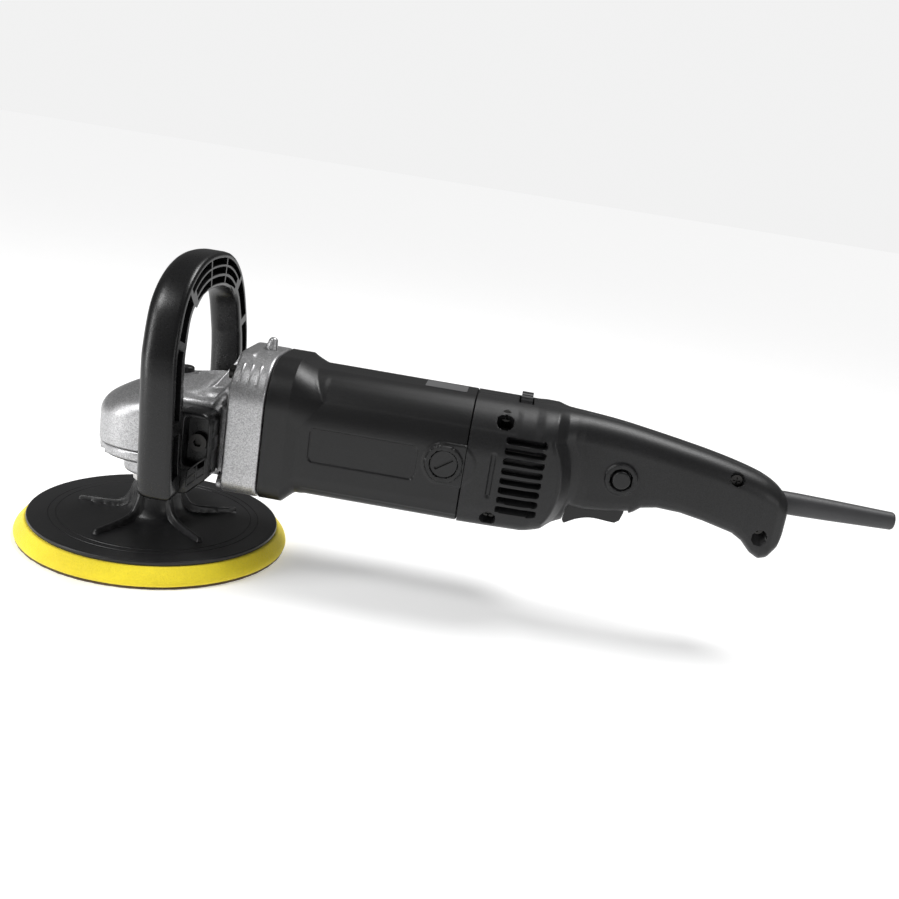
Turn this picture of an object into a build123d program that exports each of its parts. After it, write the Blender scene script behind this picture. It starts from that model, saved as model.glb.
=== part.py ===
from build123d import *
import math
import os

# Rotary polisher: pad, right-angle gear head with loop handle, motor housing and rear trigger handle.
#
# Row frame, millimetres: the origin is the centre of the pad's working face, +Z runs up the spindle,
# +X runs along the motor axis towards the rear handle, and the tool is symmetric about the XZ plane
# apart from its screws and its lock-on button.

os.makedirs("parts", exist_ok=True)

# ---------------------------------------------------------------- driving dimensions
# Pad and hub
PAD_R = 90.0  # working radius of the foam pad
DISC_R = 82.5  # radius of the hard backing disc
HOOK_T = 1.5  # hook-and-loop layer
FOAM_TOP = 12.6  # top face of the foam, under the backing disc
DISC_TOP = 15.6  # top face of the backing disc
HUB_TOP = 42.0
HUB_R = 15.0
RIB_COUNT = 5
RIB_TIP_R = 56.0
RIB_PHASE = 177.0  # degrees, direction of the first rib at rest

# Spindle and bevel gears
MOTOR_Z = 98.4  # height of the motor axis above the pad face
GEAR_TEETH = 40
PINION_TEETH = 10
GEAR_PITCH_R = 26.0
FACE_SHARE = 0.70  # inner end of the teeth, as a share of the cone distance
THREAD_R = 7.0
SPINDLE_SEAT_R = 7.5
GEAR_SEAT_R = 8.0
GEAR_BOTTOM = 82.0

# Gear head
HEAD_R = 39.0
HEAD_BOTTOM = 70.0  # parting plane between gear housing and bearing box
NECK_W = 32.0  # half width of the neck and of the two side pads
FLANGE_X = 54.0
SEAM_X = 78.0  # gear housing against motor housing

# Motor and housings
BARREL_END_X = 205.5  # motor housing against rear handle
BORE_R = 38.0
BRUSH_X = 192.8
WALL = 2.8  # plastic shell thickness
RUN_GAP = 0.05  # radial clearance of a running fit

# Rear handle
TAIL_X = 409.6
TRIGGER_PIVOT = (279.0, 93.0)  # x, z of the trigger's pin
LOCK_X, LOCK_Z = 303.6, 102.0
DIAL_X, DIAL_Z, DIAL_R, DIAL_HALF = 237.0, 134.0, 9.2, 3.6

# Loop handle
LOOP_X0, LOOP_X1 = 10.5, 33.5
LOOP_OUT_Y, LOOP_IN_Y = 74.0, 54.5
LOOP_TOP, LOOP_IN_TOP = 199.0, 177.0
FOOT_BOTTOM, FOOT_TOP = 57.0, 108.0
LEG_BOTTOM = 53.0
FOOT_X0, FOOT_X1 = 14.0, 50.0
FOOT_IN_Y, FOOT_OUT_Y = 35.0, 54.0
WINDOW_DEPTH = 10.0
BOLT_X, BOLT_Z = 41.0, 87.0

# A housing section is (x, half width, bottom z, top z, top corner radius, bottom corner radius).
FLANGE_SECTION = (42.0, 52.4, 142.6, 30.0, 12.0)
BARREL_SECTION = (41.0, 58.6, 138.0, 32.0, 16.0)
# Each handle station is a section, then the floor of the hollow inside it.
HANDLE_STATIONS = (
    (BARREL_END_X, *BARREL_SECTION, 61.4),
    (228.0, 41.0, 58.8, 138.0, 32.0, 16.0, 61.6),
    (246.0, 40.6, 59.6, 137.9, 31.5, 16.0, 62.4),
    (256.0, 38.0, 62.0, 137.6, 29.0, 15.0, 64.8),
    (263.0, 32.5, 65.0, 137.4, 25.0, 13.0, 68.0),
    (267.5, 28.5, 66.2, 137.2, 22.0, 12.0, 69.4),
    (268.5, 27.6, 66.4, 137.1, 21.5, 11.5, 88.2),
    (271.4, 25.0, 67.4, 136.9, 19.5, 10.5, 88.2),
    (273.4, 23.8, 84.8, 136.8, 18.5, 8.0, 88.2),
    (284.0, 20.4, 85.2, 136.2, 16.0, 8.0, 88.4),
    (300.0, 19.0, 86.0, 134.9, 15.0, 8.0, 89.2),
    (312.6, 18.6, 86.6, 133.3, 15.0, 8.0, 89.6),
    (313.4, 18.6, 78.4, 133.2, 15.0, 8.0, 89.6),
    (316.0, 18.5, 80.6, 132.8, 15.0, 8.0, 89.6),
    (320.0, 18.5, 85.4, 132.2, 15.0, 8.0, 89.6),
    (340.0, 18.5, 86.2, 129.2, 15.0, 8.0, 89.0),
    (360.0, 18.3, 83.8, 125.8, 15.0, 8.0, 86.8),
    (380.0, 18.0, 79.6, 121.6, 14.5, 8.0, 82.6),
    (394.0, 17.6, 76.6, 117.6, 14.0, 8.0, 80.0),
    (404.0, 16.4, 78.0, 112.6, 13.0, 8.0, 81.6),
    (TAIL_X, 13.0, 82.0, 107.0, 9.0, 8.0, 86.0),
)

AXIS_X = Axis((0, 0, MOTOR_Z), (1, 0, 0))


def save(part, name):
    """Label a finished solid and write it to parts/."""
    part.label = name
    export_step(part, f"parts/{name}.step")


def rounded_outline(half_width, bottom, top, top_radius, bottom_radius):
    """Closed outline of a housing section, with its own radii at the top and bottom corners."""
    with BuildLine() as outline:
        FilletPolyline(
            (-half_width, bottom),
            (half_width, bottom),
            (half_width, top),
            (-half_width, top),
            radius=[bottom_radius, bottom_radius, top_radius, top_radius],
            close=True,
        )
    make_face(outline.line.edges())


def inset(section, wall):
    """The same section, a wall thickness smaller all round."""
    half_width, bottom, top, top_radius, bottom_radius = section
    return (half_width - wall, bottom + wall, top - wall, top_radius - wall, bottom_radius - wall)


def polygon(points):
    """A filled polygon in the current sketch."""
    with BuildLine() as outline:
        Polyline(*points, close=True)
    make_face(outline.line.edges())


# ================================================================ pad
with BuildPart() as hook_layer:
    with BuildSketch():
        Circle(PAD_R - 1.0)
    extrude(amount=HOOK_T)
save(hook_layer.part, "hook_layer")

# Moulded foam: widest just above the hook layer, drawn in to the disc at its top.
with BuildPart() as foam_pad:
    with BuildSketch(Plane.XZ):
        with BuildLine():
            Polyline((0, HOOK_T), (PAD_R - 1.2, HOOK_T), (PAD_R, HOOK_T + 2.0))
            Spline(
                (PAD_R, HOOK_T + 2.0),
                (PAD_R - 3.4, 7.6),
                (DISC_R + 0.9, FOAM_TOP),
                tangents=[(-0.1, 1), (-0.75, 1)],
            )
            Polyline((DISC_R + 0.9, FOAM_TOP), (0, FOAM_TOP), (0, HOOK_T))
        make_face()
    revolve(axis=Axis.Z)
save(foam_pad.part, "foam_pad")

INSERT_R = 10.5
with BuildPart() as backing_disc:
    # The disc and its trumpet-shaped hub are one moulding, turned about the spindle axis.
    with BuildSketch(Plane.XZ):
        with BuildLine():
            Polyline((INSERT_R, FOAM_TOP), (DISC_R, FOAM_TOP), (DISC_R, FOAM_TOP + 0.8))
            RadiusArc((DISC_R, FOAM_TOP + 0.8), (DISC_R - 2.2, DISC_TOP), -2.4)
            Polyline((DISC_R - 2.2, DISC_TOP), (HUB_R + 11.0, DISC_TOP + 0.6))
            Spline(
                (HUB_R + 11.0, DISC_TOP + 0.6),
                (HUB_R + 2.6, DISC_TOP + 6.6),
                (HUB_R, DISC_TOP + 16.0),
                tangents=[(-1, 0.05), (-0.05, 1)],
            )
            Polyline(
                (HUB_R, DISC_TOP + 16.0),
                (HUB_R, HUB_TOP - 1.0),
                (HUB_R - 1.0, HUB_TOP),
                (INSERT_R, HUB_TOP),
                (INSERT_R, FOAM_TOP),
            )
        make_face()
    revolve(axis=Axis.Z)
    # Two shallow turned grooves mark the flat of the disc.
    for groove_r in (64.0, 69.0):
        with BuildSketch(Plane.XY.offset(DISC_TOP - 0.35)):
            Circle(groove_r + 0.5)
            Circle(groove_r - 0.5, mode=Mode.SUBTRACT)
        extrude(amount=1.0, mode=Mode.SUBTRACT)
    # Fins flow down the hub and out along the disc.
    for index in range(RIB_COUNT):
        turn = RIB_PHASE + index * 360.0 / RIB_COUNT
        fin_plane = Plane.XZ.rotated((0, 0, turn))
        with BuildSketch(fin_plane):
            with BuildLine():
                Line((HUB_R - 2.0, HUB_TOP - 3.0), (HUB_R + 1.6, HUB_TOP - 3.0))
                Spline(
                    (HUB_R + 1.6, HUB_TOP - 3.0),
                    (HUB_R + 4.6, DISC_TOP + 10.0),
                    (HUB_R + 15.0, DISC_TOP + 4.6),
                    tangents=[(0.05, -1), (1, -0.08)],
                )
                Polyline(
                    (HUB_R + 15.0, DISC_TOP + 4.6),
                    (RIB_TIP_R - 1.0, DISC_TOP + 3.6),
                    (RIB_TIP_R, DISC_TOP + 2.6),
                    (RIB_TIP_R, DISC_TOP - 0.5),
                    (HUB_R - 2.0, DISC_TOP - 0.5),
                    (HUB_R - 2.0, HUB_TOP - 3.0),
                )
            make_face()
        extrude(amount=1.7, both=True)
save(backing_disc.part, "backing_disc")

# Threaded steel insert moulded into the hub.
with BuildPart() as hub_insert:
    with BuildSketch(Plane.XY.offset(FOAM_TOP)):
        Circle(INSERT_R)
        Circle(THREAD_R, mode=Mode.SUBTRACT)
    extrude(amount=HUB_TOP - FOAM_TOP)
save(hub_insert.part, "hub_insert")

# ================================================================ spindle
COLLAR_TOP = 46.6
SPINDLE_TOP = 103.0
with BuildPart() as spindle:
    with BuildSketch(Plane.XZ):
        with BuildLine():
            Polyline(
                (0, 17.0),
                (THREAD_R - 1.0, 17.0),
                (THREAD_R, 18.0),
                (THREAD_R, HUB_TOP),
                (16.6, HUB_TOP),
                (16.6, COLLAR_TOP - 0.8),
                (15.8, COLLAR_TOP),
                (9.0, COLLAR_TOP),
                (9.0, 59.5),
                (SPINDLE_SEAT_R, 59.5),
                (SPINDLE_SEAT_R, 70.5),
                (10.0, 70.5),
                (10.0, GEAR_BOTTOM),
                (GEAR_SEAT_R, GEAR_BOTTOM),
                (GEAR_SEAT_R, 91.0),
                (6.4, 91.0),
                (6.4, 92.4),
                (5.0, 92.4),
                (5.0, SPINDLE_TOP - 0.6),
                (4.4, SPINDLE_TOP),
                (0, SPINDLE_TOP),
                close=True,
            )
        make_face()
    revolve(axis=Axis.Z)
    # Two spanner flats on the collar.
    with Locations((0, 17.0, 44.3), (0, -17.0, 44.3)):
        Box(40, 4.0, 4.6, mode=Mode.SUBTRACT)
save(spindle.part, "spindle")

with BuildPart() as dust_washer:
    with BuildSketch(Plane.XY.offset(52.2)):
        Circle(14.0)
        Circle(9.0, mode=Mode.SUBTRACT)
    extrude(amount=4.0)
save(dust_washer.part, "dust_washer")

with BuildPart() as gear_retaining_ring:
    with BuildSketch(Plane.XY.offset(91.0)):
        Circle(8.6)
        Circle(6.4, mode=Mode.SUBTRACT)
        with Locations((7.5, 0)):
            Rectangle(4.0, 2.6, mode=Mode.SUBTRACT)
    extrude(amount=1.2)
save(gear_retaining_ring.part, "gear_retaining_ring")


# ---------------------------------------------------------------- bevel gears
MODULE = 2 * GEAR_PITCH_R / GEAR_TEETH
GEAR_CONE = math.atan(GEAR_TEETH / PINION_TEETH)
PINION_CONE = math.pi / 2 - GEAR_CONE
CONE_LENGTH = GEAR_PITCH_R / math.sin(GEAR_CONE)
ADDENDUM = 0.9 * MODULE
DEDENDUM = 1.2 * MODULE
TOOTH_HALF = 0.85 * math.pi * MODULE / 4  # thinner than half the pitch, for backlash


def tooth_rows(cone_angle, root_half, tip_half, root_extra):
    """Half widths at root, pitch and tip, as (axial, radial, half width) at the outer end of a tooth."""
    rows = []
    for height, half in (
        (-DEDENDUM - root_extra, root_half),
        (0.0, TOOTH_HALF),
        (ADDENDUM, tip_half),
    ):
        axial = CONE_LENGTH * math.cos(cone_angle) - height * math.sin(cone_angle)
        radial = CONE_LENGTH * math.sin(cone_angle) + height * math.cos(cone_angle)
        rows.append((axial, radial, half))
    return rows


def tooth_faces(rows, place):
    """Faces of one straight bevel tooth: its outer end, its inner end nearer the apex, and its flanks."""
    outline = [(a, r, h) for a, r, h in rows] + [(a, r, -h) for a, r, h in reversed(rows)]
    outer = [place(*corner) for corner in outline]
    inner = [place(a * FACE_SHARE, r * FACE_SHARE, h * FACE_SHARE) for a, r, h in outline]
    faces = [Face(Wire.make_polygon(outer)), Face(Wire.make_polygon(inner))]
    for here in range(len(outer)):
        after = (here + 1) % len(outer)
        faces.append(Face(Wire.make_polygon([outer[here], outer[after], inner[after], inner[here]])))
    return faces


def gear_place(turn):
    """Axial distance is measured down from the apex, and the tooth sits at an angle about Z."""
    c, s = math.cos(turn), math.sin(turn)
    return lambda axial, radial, side: Vector(radial * c - side * s, radial * s + side * c, MOTOR_Z - axial)


def pinion_place(turn):
    """Axial distance runs along +X from the apex, and the tooth sits at an angle about X from -Z."""
    c, s = math.cos(turn), math.sin(turn)
    return lambda axial, radial, side: Vector(axial, radial * s + side * c, MOTOR_Z - radial * c + side * s)


with BuildPart() as bevel_gear:
    root = tooth_rows(GEAR_CONE, 0, 0, 0.0)[0]
    with BuildSketch(Plane.XZ):
        sorted_root = (root[1], MOTOR_Z - root[0])
        with BuildLine():
            Polyline(
                (GEAR_SEAT_R, GEAR_BOTTOM),
                (23.5, GEAR_BOTTOM),
                (sorted_root[0] + 0.6, GEAR_BOTTOM + 3.5),
                sorted_root,
                (root[1] * FACE_SHARE, MOTOR_Z - root[0] * FACE_SHARE),
                (root[1] * FACE_SHARE - 1.0, 91.0),
                (GEAR_SEAT_R, 91.0),
                close=True,
            )
        make_face()
    revolve(axis=Axis.Z)
    for index in range(GEAR_TEETH):
        rows = tooth_rows(GEAR_CONE, TOOTH_HALF + 0.62, TOOTH_HALF - 0.42, 0.4)
        turn = math.radians((index + 0.5) * 360.0 / GEAR_TEETH)
        add(Solid(Shell(tooth_faces(rows, gear_place(turn)))))
    # Four holes in the web take the spindle-lock pin.
    with BuildSketch(Plane.XY.offset(87.0)):
        with PolarLocations(13.0, 4):
            Circle(2.4)
    extrude(amount=10.0, mode=Mode.SUBTRACT)
save(bevel_gear.part, "bevel_gear")

PINION_END = CONE_LENGTH * math.cos(PINION_CONE)
with BuildPart() as bevel_pinion:
    pinion_root = tooth_rows(PINION_CONE, 0, 0, 0.0)[0]
    with BuildSketch(Plane.XZ):
        with BuildLine():
            Polyline(
                (pinion_root[0] * FACE_SHARE, MOTOR_Z + 3.0),
                (pinion_root[0] * FACE_SHARE, MOTOR_Z + pinion_root[1] * FACE_SHARE),
                (pinion_root[0], MOTOR_Z + pinion_root[1]),
                (pinion_root[0], MOTOR_Z + 7.6),
                (33.5, MOTOR_Z + 7.6),
                (33.5, MOTOR_Z + 3.0),
                close=True,
            )
        make_face()
    revolve(axis=AXIS_X)
    for index in range(PINION_TEETH):
        rows = tooth_rows(PINION_CONE, TOOTH_HALF + 0.15, TOOTH_HALF - 0.55, 0.3)
        turn = math.radians(index * 360.0 / PINION_TEETH)
        add(Solid(Shell(tooth_faces(rows, pinion_place(turn)))))
save(bevel_pinion.part, "bevel_pinion")

# ================================================================ gear head
DOWN = Align.CENTER, Align.CENTER, Align.MAX
UP = Align.CENTER, Align.CENTER, Align.MIN
CHAMBER_R = 28.5
BOX_SCREW_R, BOX_SCREW_SEAT = 33.4, 64.4
BOX_SCREW_TURNS = (40, 140, 220, 320)
FLANGE_SCREWS = ((-29.5, 130.5), (29.5, 130.5), (-31.5, 63.5), (31.5, 63.5))
FLANGE_SCREW_SEAT = 55.0
PAD_Y = 35.0  # side faces that carry the loop handle
LOCK_PIN_X, LOCK_PIN_R = 13.0, 2.1
LOCK_POCKET = 109.5
PINION_CAVITY_R = 9.5
FRONT_BEARING = (36.0, 45.0, 15.0)  # start, end, outer radius


def along_x(x, y=0.0, z=MOTOR_Z):
    """Work plane facing the tail, at x."""
    return Plane(origin=(x, y, z), x_dir=(0, 1, 0), z_dir=(1, 0, 0))


def facing_side(x, y, z):
    """Work plane on a side face, looking outward along -Y or +Y by the sign of y."""
    return Plane(origin=(x, y, z), x_dir=(1, 0, 0), z_dir=(0, math.copysign(1, y), 0))


with BuildPart() as bearing_box:
    with BuildSketch(Plane.XZ):
        with BuildLine():
            Polyline(
                (10.2, 48.6),
                (22.2, 48.6),
                (23.0, 49.4),
                (23.0, 60.4),
                (34.5, 61.4),
                (38.2, 63.6),
                (HEAD_R, 66.0),
                (HEAD_R, HEAD_BOTTOM),
                (CHAMBER_R, HEAD_BOTTOM),
                (CHAMBER_R, 73.0),
                (24.0, 73.0),
                (24.0, 70.2),
                (17.5, 70.2),
                (17.5, 59.8),
                (14.4, 58.4),
                (14.4, 51.6),
                (10.2, 51.6),
                close=True,
            )
        make_face()
    revolve(axis=Axis.Z)
    for turn in BOX_SCREW_TURNS:
        seat = Plane.XY.offset(BOX_SCREW_SEAT).rotated((0, 0, turn)) * Pos(BOX_SCREW_R, 0, 0)
        with Locations(seat):
            Cylinder(3.8, 10.0, align=DOWN, mode=Mode.SUBTRACT)
            Cylinder(2.0, 20.0, mode=Mode.SUBTRACT)
save(bearing_box.part, "bearing_box")

with BuildPart() as bearing_box_screws:
    for turn in BOX_SCREW_TURNS:
        seat = Plane.XY.offset(BOX_SCREW_SEAT).rotated((0, 0, turn)) * Pos(BOX_SCREW_R, 0, 0)
        with Locations(seat):
            Cylinder(3.6, 2.8, align=DOWN)
            Cylinder(2.0, 21.0, align=UP)
        with Locations(seat * Pos(0, 0, -2.8)):
            Box(4.6, 1.0, 2.4, mode=Mode.SUBTRACT)
            Box(1.0, 4.6, 2.4, mode=Mode.SUBTRACT)
save(bearing_box_screws.part, "bearing_box_screws")

with BuildPart() as spindle_bearing:
    with BuildSketch(Plane.XZ):
        with BuildLine():
            Polyline(
                (SPINDLE_SEAT_R + RUN_GAP, 59.8),
                (10.4, 59.8),
                (10.6, 60.3),
                (14.4, 60.3),
                (14.6, 59.8),
                (17.5, 59.8),
                (17.5, 70.2),
                (14.6, 70.2),
                (14.4, 69.7),
                (10.6, 69.7),
                (10.4, 70.2),
                (SPINDLE_SEAT_R + RUN_GAP, 70.2),
                close=True,
            )
        make_face()
    revolve(axis=Axis.Z)
save(spindle_bearing.part, "spindle_bearing")

with BuildPart() as bearing_plate:
    with BuildSketch(Plane.XY.offset(70.2)):
        Circle(24.0)
        Circle(12.0, mode=Mode.SUBTRACT)
    extrude(amount=2.0)
save(bearing_plate.part, "bearing_plate")

# Cast housing: a round gear chamber, a neck along the motor axis and a square flange.
with BuildPart() as gear_housing:
    with BuildSketch(Plane.XZ):
        with BuildLine():
            Polyline((0, HEAD_BOTTOM), (HEAD_R, HEAD_BOTTOM), (HEAD_R - 0.4, 82.0))
            Spline(
                (HEAD_R - 0.4, 82.0),
                (37.6, 89.0),
                (34.2, 95.0),
                (28.5, 99.6),
                (16.5, 107.0),
                (0, 112.0),
                tangents=[(-0.05, 1), (-1, 0.1)],
            )
            Line((0, 112.0), (0, HEAD_BOTTOM))
        make_face()
    revolve(axis=Axis.Z)
    with BuildSketch(Plane.YZ.offset(-4.0)):
        rounded_outline(22.0, HEAD_BOTTOM, 111.5, 12.0, 3.0)
    with BuildSketch(Plane.YZ.offset(18.0)):
        rounded_outline(30.0, HEAD_BOTTOM, 117.6, 13.0, 3.0)
    with BuildSketch(Plane.YZ.offset(42.0)):
        rounded_outline(NECK_W, 66.0, 121.6, 13.0, 3.0)
    with BuildSketch(Plane.YZ.offset(56.0)):
        rounded_outline(NECK_W + 4.0, 60.0, 126.0, 13.0, 3.0)
    loft()
    # Gusset up to the top of the flange.
    with BuildSketch(Plane.XZ):
        polygon([(36, 112), (42, 121.6), (49.5, 133.4), (55.0, 142.0), (58, 142.0), (58, 112)])
    extrude(amount=12.0, both=True)
    with BuildSketch(Plane.YZ.offset(FLANGE_X)):
        rounded_outline(*inset(FLANGE_SECTION, 3.0))
    with BuildSketch(Plane.YZ.offset(FLANGE_X + 4.0)):
        rounded_outline(*FLANGE_SECTION)
    loft()
    with BuildSketch(Plane.YZ.offset(FLANGE_X + 4.0)):
        rounded_outline(*FLANGE_SECTION)
    extrude(amount=SEAM_X - FLANGE_X - 4.0)
    # Round side faces for the loop handle.
    for side in (-1, 1):
        with BuildSketch(facing_side(BOLT_X, side * 20.0, BOLT_Z)):
            Circle(14.0)
        extrude(amount=PAD_Y - 20.0)
    # Gear chamber, pinion cavity, bearing seat and fan chamber.
    with BuildSketch(Plane.XY.offset(HEAD_BOTTOM - 1.0)):
        Circle(CHAMBER_R)
    extrude(amount=27.2, mode=Mode.SUBTRACT)
    with BuildSketch(along_x(16.4)):
        Circle(PINION_CAVITY_R)
    extrude(amount=FRONT_BEARING[0] - 16.4, mode=Mode.SUBTRACT)
    with BuildSketch(along_x(FRONT_BEARING[0])):
        Circle(FRONT_BEARING[2])
    extrude(amount=FRONT_BEARING[1] - FRONT_BEARING[0], mode=Mode.SUBTRACT)
    with BuildSketch(along_x(FRONT_BEARING[1])):
        Circle(22.0)
    extrude(amount=14.0, mode=Mode.SUBTRACT)
    with BuildSketch(along_x(57.0)):
        Circle(37.0)
    extrude(amount=SEAM_X - 57.0, mode=Mode.SUBTRACT)
    # Seat of the bearing box on the parting plane.
    with BuildSketch(Plane.XY.offset(HEAD_BOTTOM - 20.0)):
        Circle(HEAD_R)
    extrude(amount=20.0, mode=Mode.SUBTRACT)
    # Boss for the spindle's upper bush, and the lock pin's stepped hole beside it.
    with BuildSketch(Plane.XY.offset(93.4)):
        Circle(10.4)
    extrude(amount=5.0)
    with BuildSketch(Plane.XY.offset(93.4)):
        Circle(8.5)
    extrude(amount=10.6, mode=Mode.SUBTRACT)
    with BuildSketch(Plane(origin=(LOCK_PIN_X, 0, 90.0))):
        Circle(LOCK_PIN_R + 0.3)
    extrude(amount=25.0, mode=Mode.SUBTRACT)
    with BuildSketch(Plane(origin=(LOCK_PIN_X, 0, LOCK_POCKET))):
        Circle(5.9)
    extrude(amount=20.0, mode=Mode.SUBTRACT)
    for y, z in FLANGE_SCREWS:
        with Locations(along_x(FLANGE_SCREW_SEAT, y, z)):
            Cylinder(5.2, 30.0, align=DOWN, mode=Mode.SUBTRACT)
            Cylinder(2.4, 60.0, mode=Mode.SUBTRACT)
    for side in (-1, 1):
        with Locations(facing_side(BOLT_X, side * 26.0, BOLT_Z)):
            Cylinder(4.0, 20.0, align=UP, mode=Mode.SUBTRACT)
    for turn in BOX_SCREW_TURNS:
        with Locations(Plane.XY.offset(BOX_SCREW_SEAT).rotated((0, 0, turn)) * Pos(BOX_SCREW_R, 0, 0)):
            Cylinder(2.0, 21.0, align=UP, mode=Mode.SUBTRACT)
save(gear_housing.part, "gear_housing")

with BuildPart() as flange_screws:
    for y, z in FLANGE_SCREWS:
        with Locations(along_x(FLANGE_SCREW_SEAT, y, z)):
            Cylinder(4.4, 3.2, align=DOWN)
            Cylinder(2.4, 41.0, align=UP)
        with Locations(along_x(FLANGE_SCREW_SEAT - 3.2, y, z)):
            Box(5.4, 1.1, 2.8, mode=Mode.SUBTRACT)
            Box(1.1, 5.4, 2.8, mode=Mode.SUBTRACT)
save(flange_screws.part, "flange_screws")

with BuildPart() as spindle_bush:
    with BuildSketch(Plane.XY.offset(93.6)):
        Circle(8.5)
        Circle(5.0 + RUN_GAP, mode=Mode.SUBTRACT)
    extrude(amount=9.0)
save(spindle_bush.part, "spindle_bush")

with BuildPart() as spindle_lock_pin:
    with BuildSketch(Plane(origin=(LOCK_PIN_X, 0, 91.6))):
        Circle(LOCK_PIN_R)
    extrude(amount=26.0)
save(spindle_lock_pin.part, "spindle_lock_pin")

with BuildPart() as spindle_lock_button:
    with BuildSketch(Plane(origin=(LOCK_PIN_X, 0, 114.0))):
        Circle(5.4)
        Circle(LOCK_PIN_R, mode=Mode.SUBTRACT)
    extrude(amount=3.6)
    with BuildSketch(Plane(origin=(LOCK_PIN_X, 0, 117.6))):
        Circle(5.4)
    extrude(amount=4.6)
    fillet(spindle_lock_button.edges().group_by(Axis.Z)[-1], radius=1.4)
save(spindle_lock_button.part, "spindle_lock_button")


def coil(centre_plane, coil_r, wire_r, length, pitch):
    """A round-wire coil spring standing on centre_plane, as one swept solid."""
    path = centre_plane * Pos(0, 0, wire_r) * Helix(pitch, length - 2 * wire_r, coil_r)
    start = Plane(origin=path @ 0, z_dir=path % 0)
    return sweep(start * Circle(wire_r), path=path)


lock_spring = coil(Plane(origin=(LOCK_PIN_X, 0, LOCK_POCKET)), 3.6, 0.45, 4.4, 1.75)
save(lock_spring, "spindle_lock_spring")

# ================================================================ motor
REAR_BEARING = (203.6, 209.0, 11.0)  # start, end, outer radius
CORE_X0, CORE_X1, CORE_R = 100.0, 152.0, 22.4
COMM_X0, COMM_X1, COMM_R = 183.0, 201.0, 14.0
SHAFT_R = 6.5

with BuildPart() as motor_shaft:
    with BuildSketch(Plane.XZ):
        with BuildLine():
            Polyline(
                (18.4, MOTOR_Z),
                (18.4, MOTOR_Z + 3.0),
                (33.5, MOTOR_Z + 3.0),
                (33.5, MOTOR_Z + 5.0),
                (45.4, MOTOR_Z + 5.0),
                (45.4, MOTOR_Z + SHAFT_R),
                (203.2, MOTOR_Z + SHAFT_R),
                (203.2, MOTOR_Z + 4.0),
                (208.6, MOTOR_Z + 4.0),
                (208.6, MOTOR_Z),
                close=True,
            )
        make_face()
    revolve(axis=AXIS_X)
save(motor_shaft.part, "motor_shaft")

for bearing_name, (start, end, outer), inner in (
    ("front_bearing", FRONT_BEARING, 5.0 + RUN_GAP),
    ("rear_bearing", REAR_BEARING, 4.0 + RUN_GAP),
):
    middle = (inner + outer) / 2
    with BuildPart() as shaft_bearing:
        with BuildSketch(along_x(start)):
            Circle(outer)
            Circle(inner, mode=Mode.SUBTRACT)
        extrude(amount=end - start)
        for groove_x in (start, end - 0.5):
            with BuildSketch(along_x(groove_x)):
                Circle(middle + 1.7)
                Circle(middle - 1.7, mode=Mode.SUBTRACT)
            extrude(amount=0.5, mode=Mode.SUBTRACT)
    save(shaft_bearing.part, bearing_name)

with BuildPart() as bearing_retainer:
    with BuildSketch(along_x(FRONT_BEARING[1])):
        Circle(22.0)
        Circle(9.0, mode=Mode.SUBTRACT)
    extrude(amount=2.5)
save(bearing_retainer.part, "bearing_retainer")

with BuildPart() as fan:
    with BuildSketch(along_x(61.0)):
        Circle(12.0)
        Circle(SHAFT_R, mode=Mode.SUBTRACT)
    extrude(amount=14.0)
    with BuildSketch(along_x(61.0)):
        Circle(35.0)
        Circle(SHAFT_R, mode=Mode.SUBTRACT)
    extrude(amount=2.0)
    for turn in range(0, 360, 30):
        with BuildSketch(along_x(62.0)):
            with Locations(Rot(0, 0, turn) * Pos(23.0, 0, 0) * Rot(0, 0, 25)):
                Rectangle(20.0, 1.6)
        extrude(amount=13.0)
save(fan.part, "fan")

with BuildPart() as baffle_plate:
    with BuildSketch(along_x(SEAM_X + 2.0)):
        Circle(BORE_R)
        Circle(24.0, mode=Mode.SUBTRACT)
    extrude(amount=2.6)
save(baffle_plate.part, "baffle_plate")

SLOTS = 12
with BuildPart() as armature_core:
    with BuildSketch(along_x(CORE_X0)):
        Circle(CORE_R)
        Circle(SHAFT_R, mode=Mode.SUBTRACT)
        with PolarLocations(16.5, SLOTS):
            SlotCenterToCenter(6.0, 4.0, mode=Mode.SUBTRACT)
        with PolarLocations(CORE_R, SLOTS):
            Rectangle(3.0, 1.6, mode=Mode.SUBTRACT)
    extrude(amount=CORE_X1 - CORE_X0)
save(armature_core.part, "armature_core")

with BuildPart() as armature_windings:
    with BuildSketch(along_x(CORE_X0)):
        with PolarLocations(16.5, SLOTS):
            SlotCenterToCenter(6.0, 4.0)
    extrude(amount=CORE_X1 - CORE_X0)
    # End turns on both sides of the core.
    for x0, x1 in ((CORE_X0 - 13.0, CORE_X0), (CORE_X1, CORE_X1 + 16.0)):
        with BuildSketch(Plane.XZ):
            with BuildLine():
                FilletPolyline(
                    (x0, MOTOR_Z + SHAFT_R),
                    (x1, MOTOR_Z + SHAFT_R),
                    (x1, MOTOR_Z + 21.0),
                    (x0, MOTOR_Z + 19.0),
                    radius=[0.2, 0.2, 3.0, 5.0],
                    close=True,
                )
            make_face()
        revolve(axis=AXIS_X)
save(armature_windings.part, "armature_windings")

with BuildPart() as commutator:
    with BuildSketch(along_x(COMM_X0)):
        Circle(COMM_R)
        Circle(SHAFT_R, mode=Mode.SUBTRACT)
    extrude(amount=COMM_X1 - COMM_X0)
    with BuildSketch(along_x(COMM_X0 - 3.0)):
        Circle(COMM_R + 2.0)
        Circle(SHAFT_R, mode=Mode.SUBTRACT)
    extrude(amount=3.0)
    with BuildSketch(along_x(COMM_X0 - 3.0)):
        with PolarLocations(COMM_R + 2.0, 24):
            Rectangle(5.0, 0.7)
    extrude(amount=COMM_X1 - COMM_X0 + 3.0, mode=Mode.SUBTRACT)
save(commutator.part, "commutator")

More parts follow.
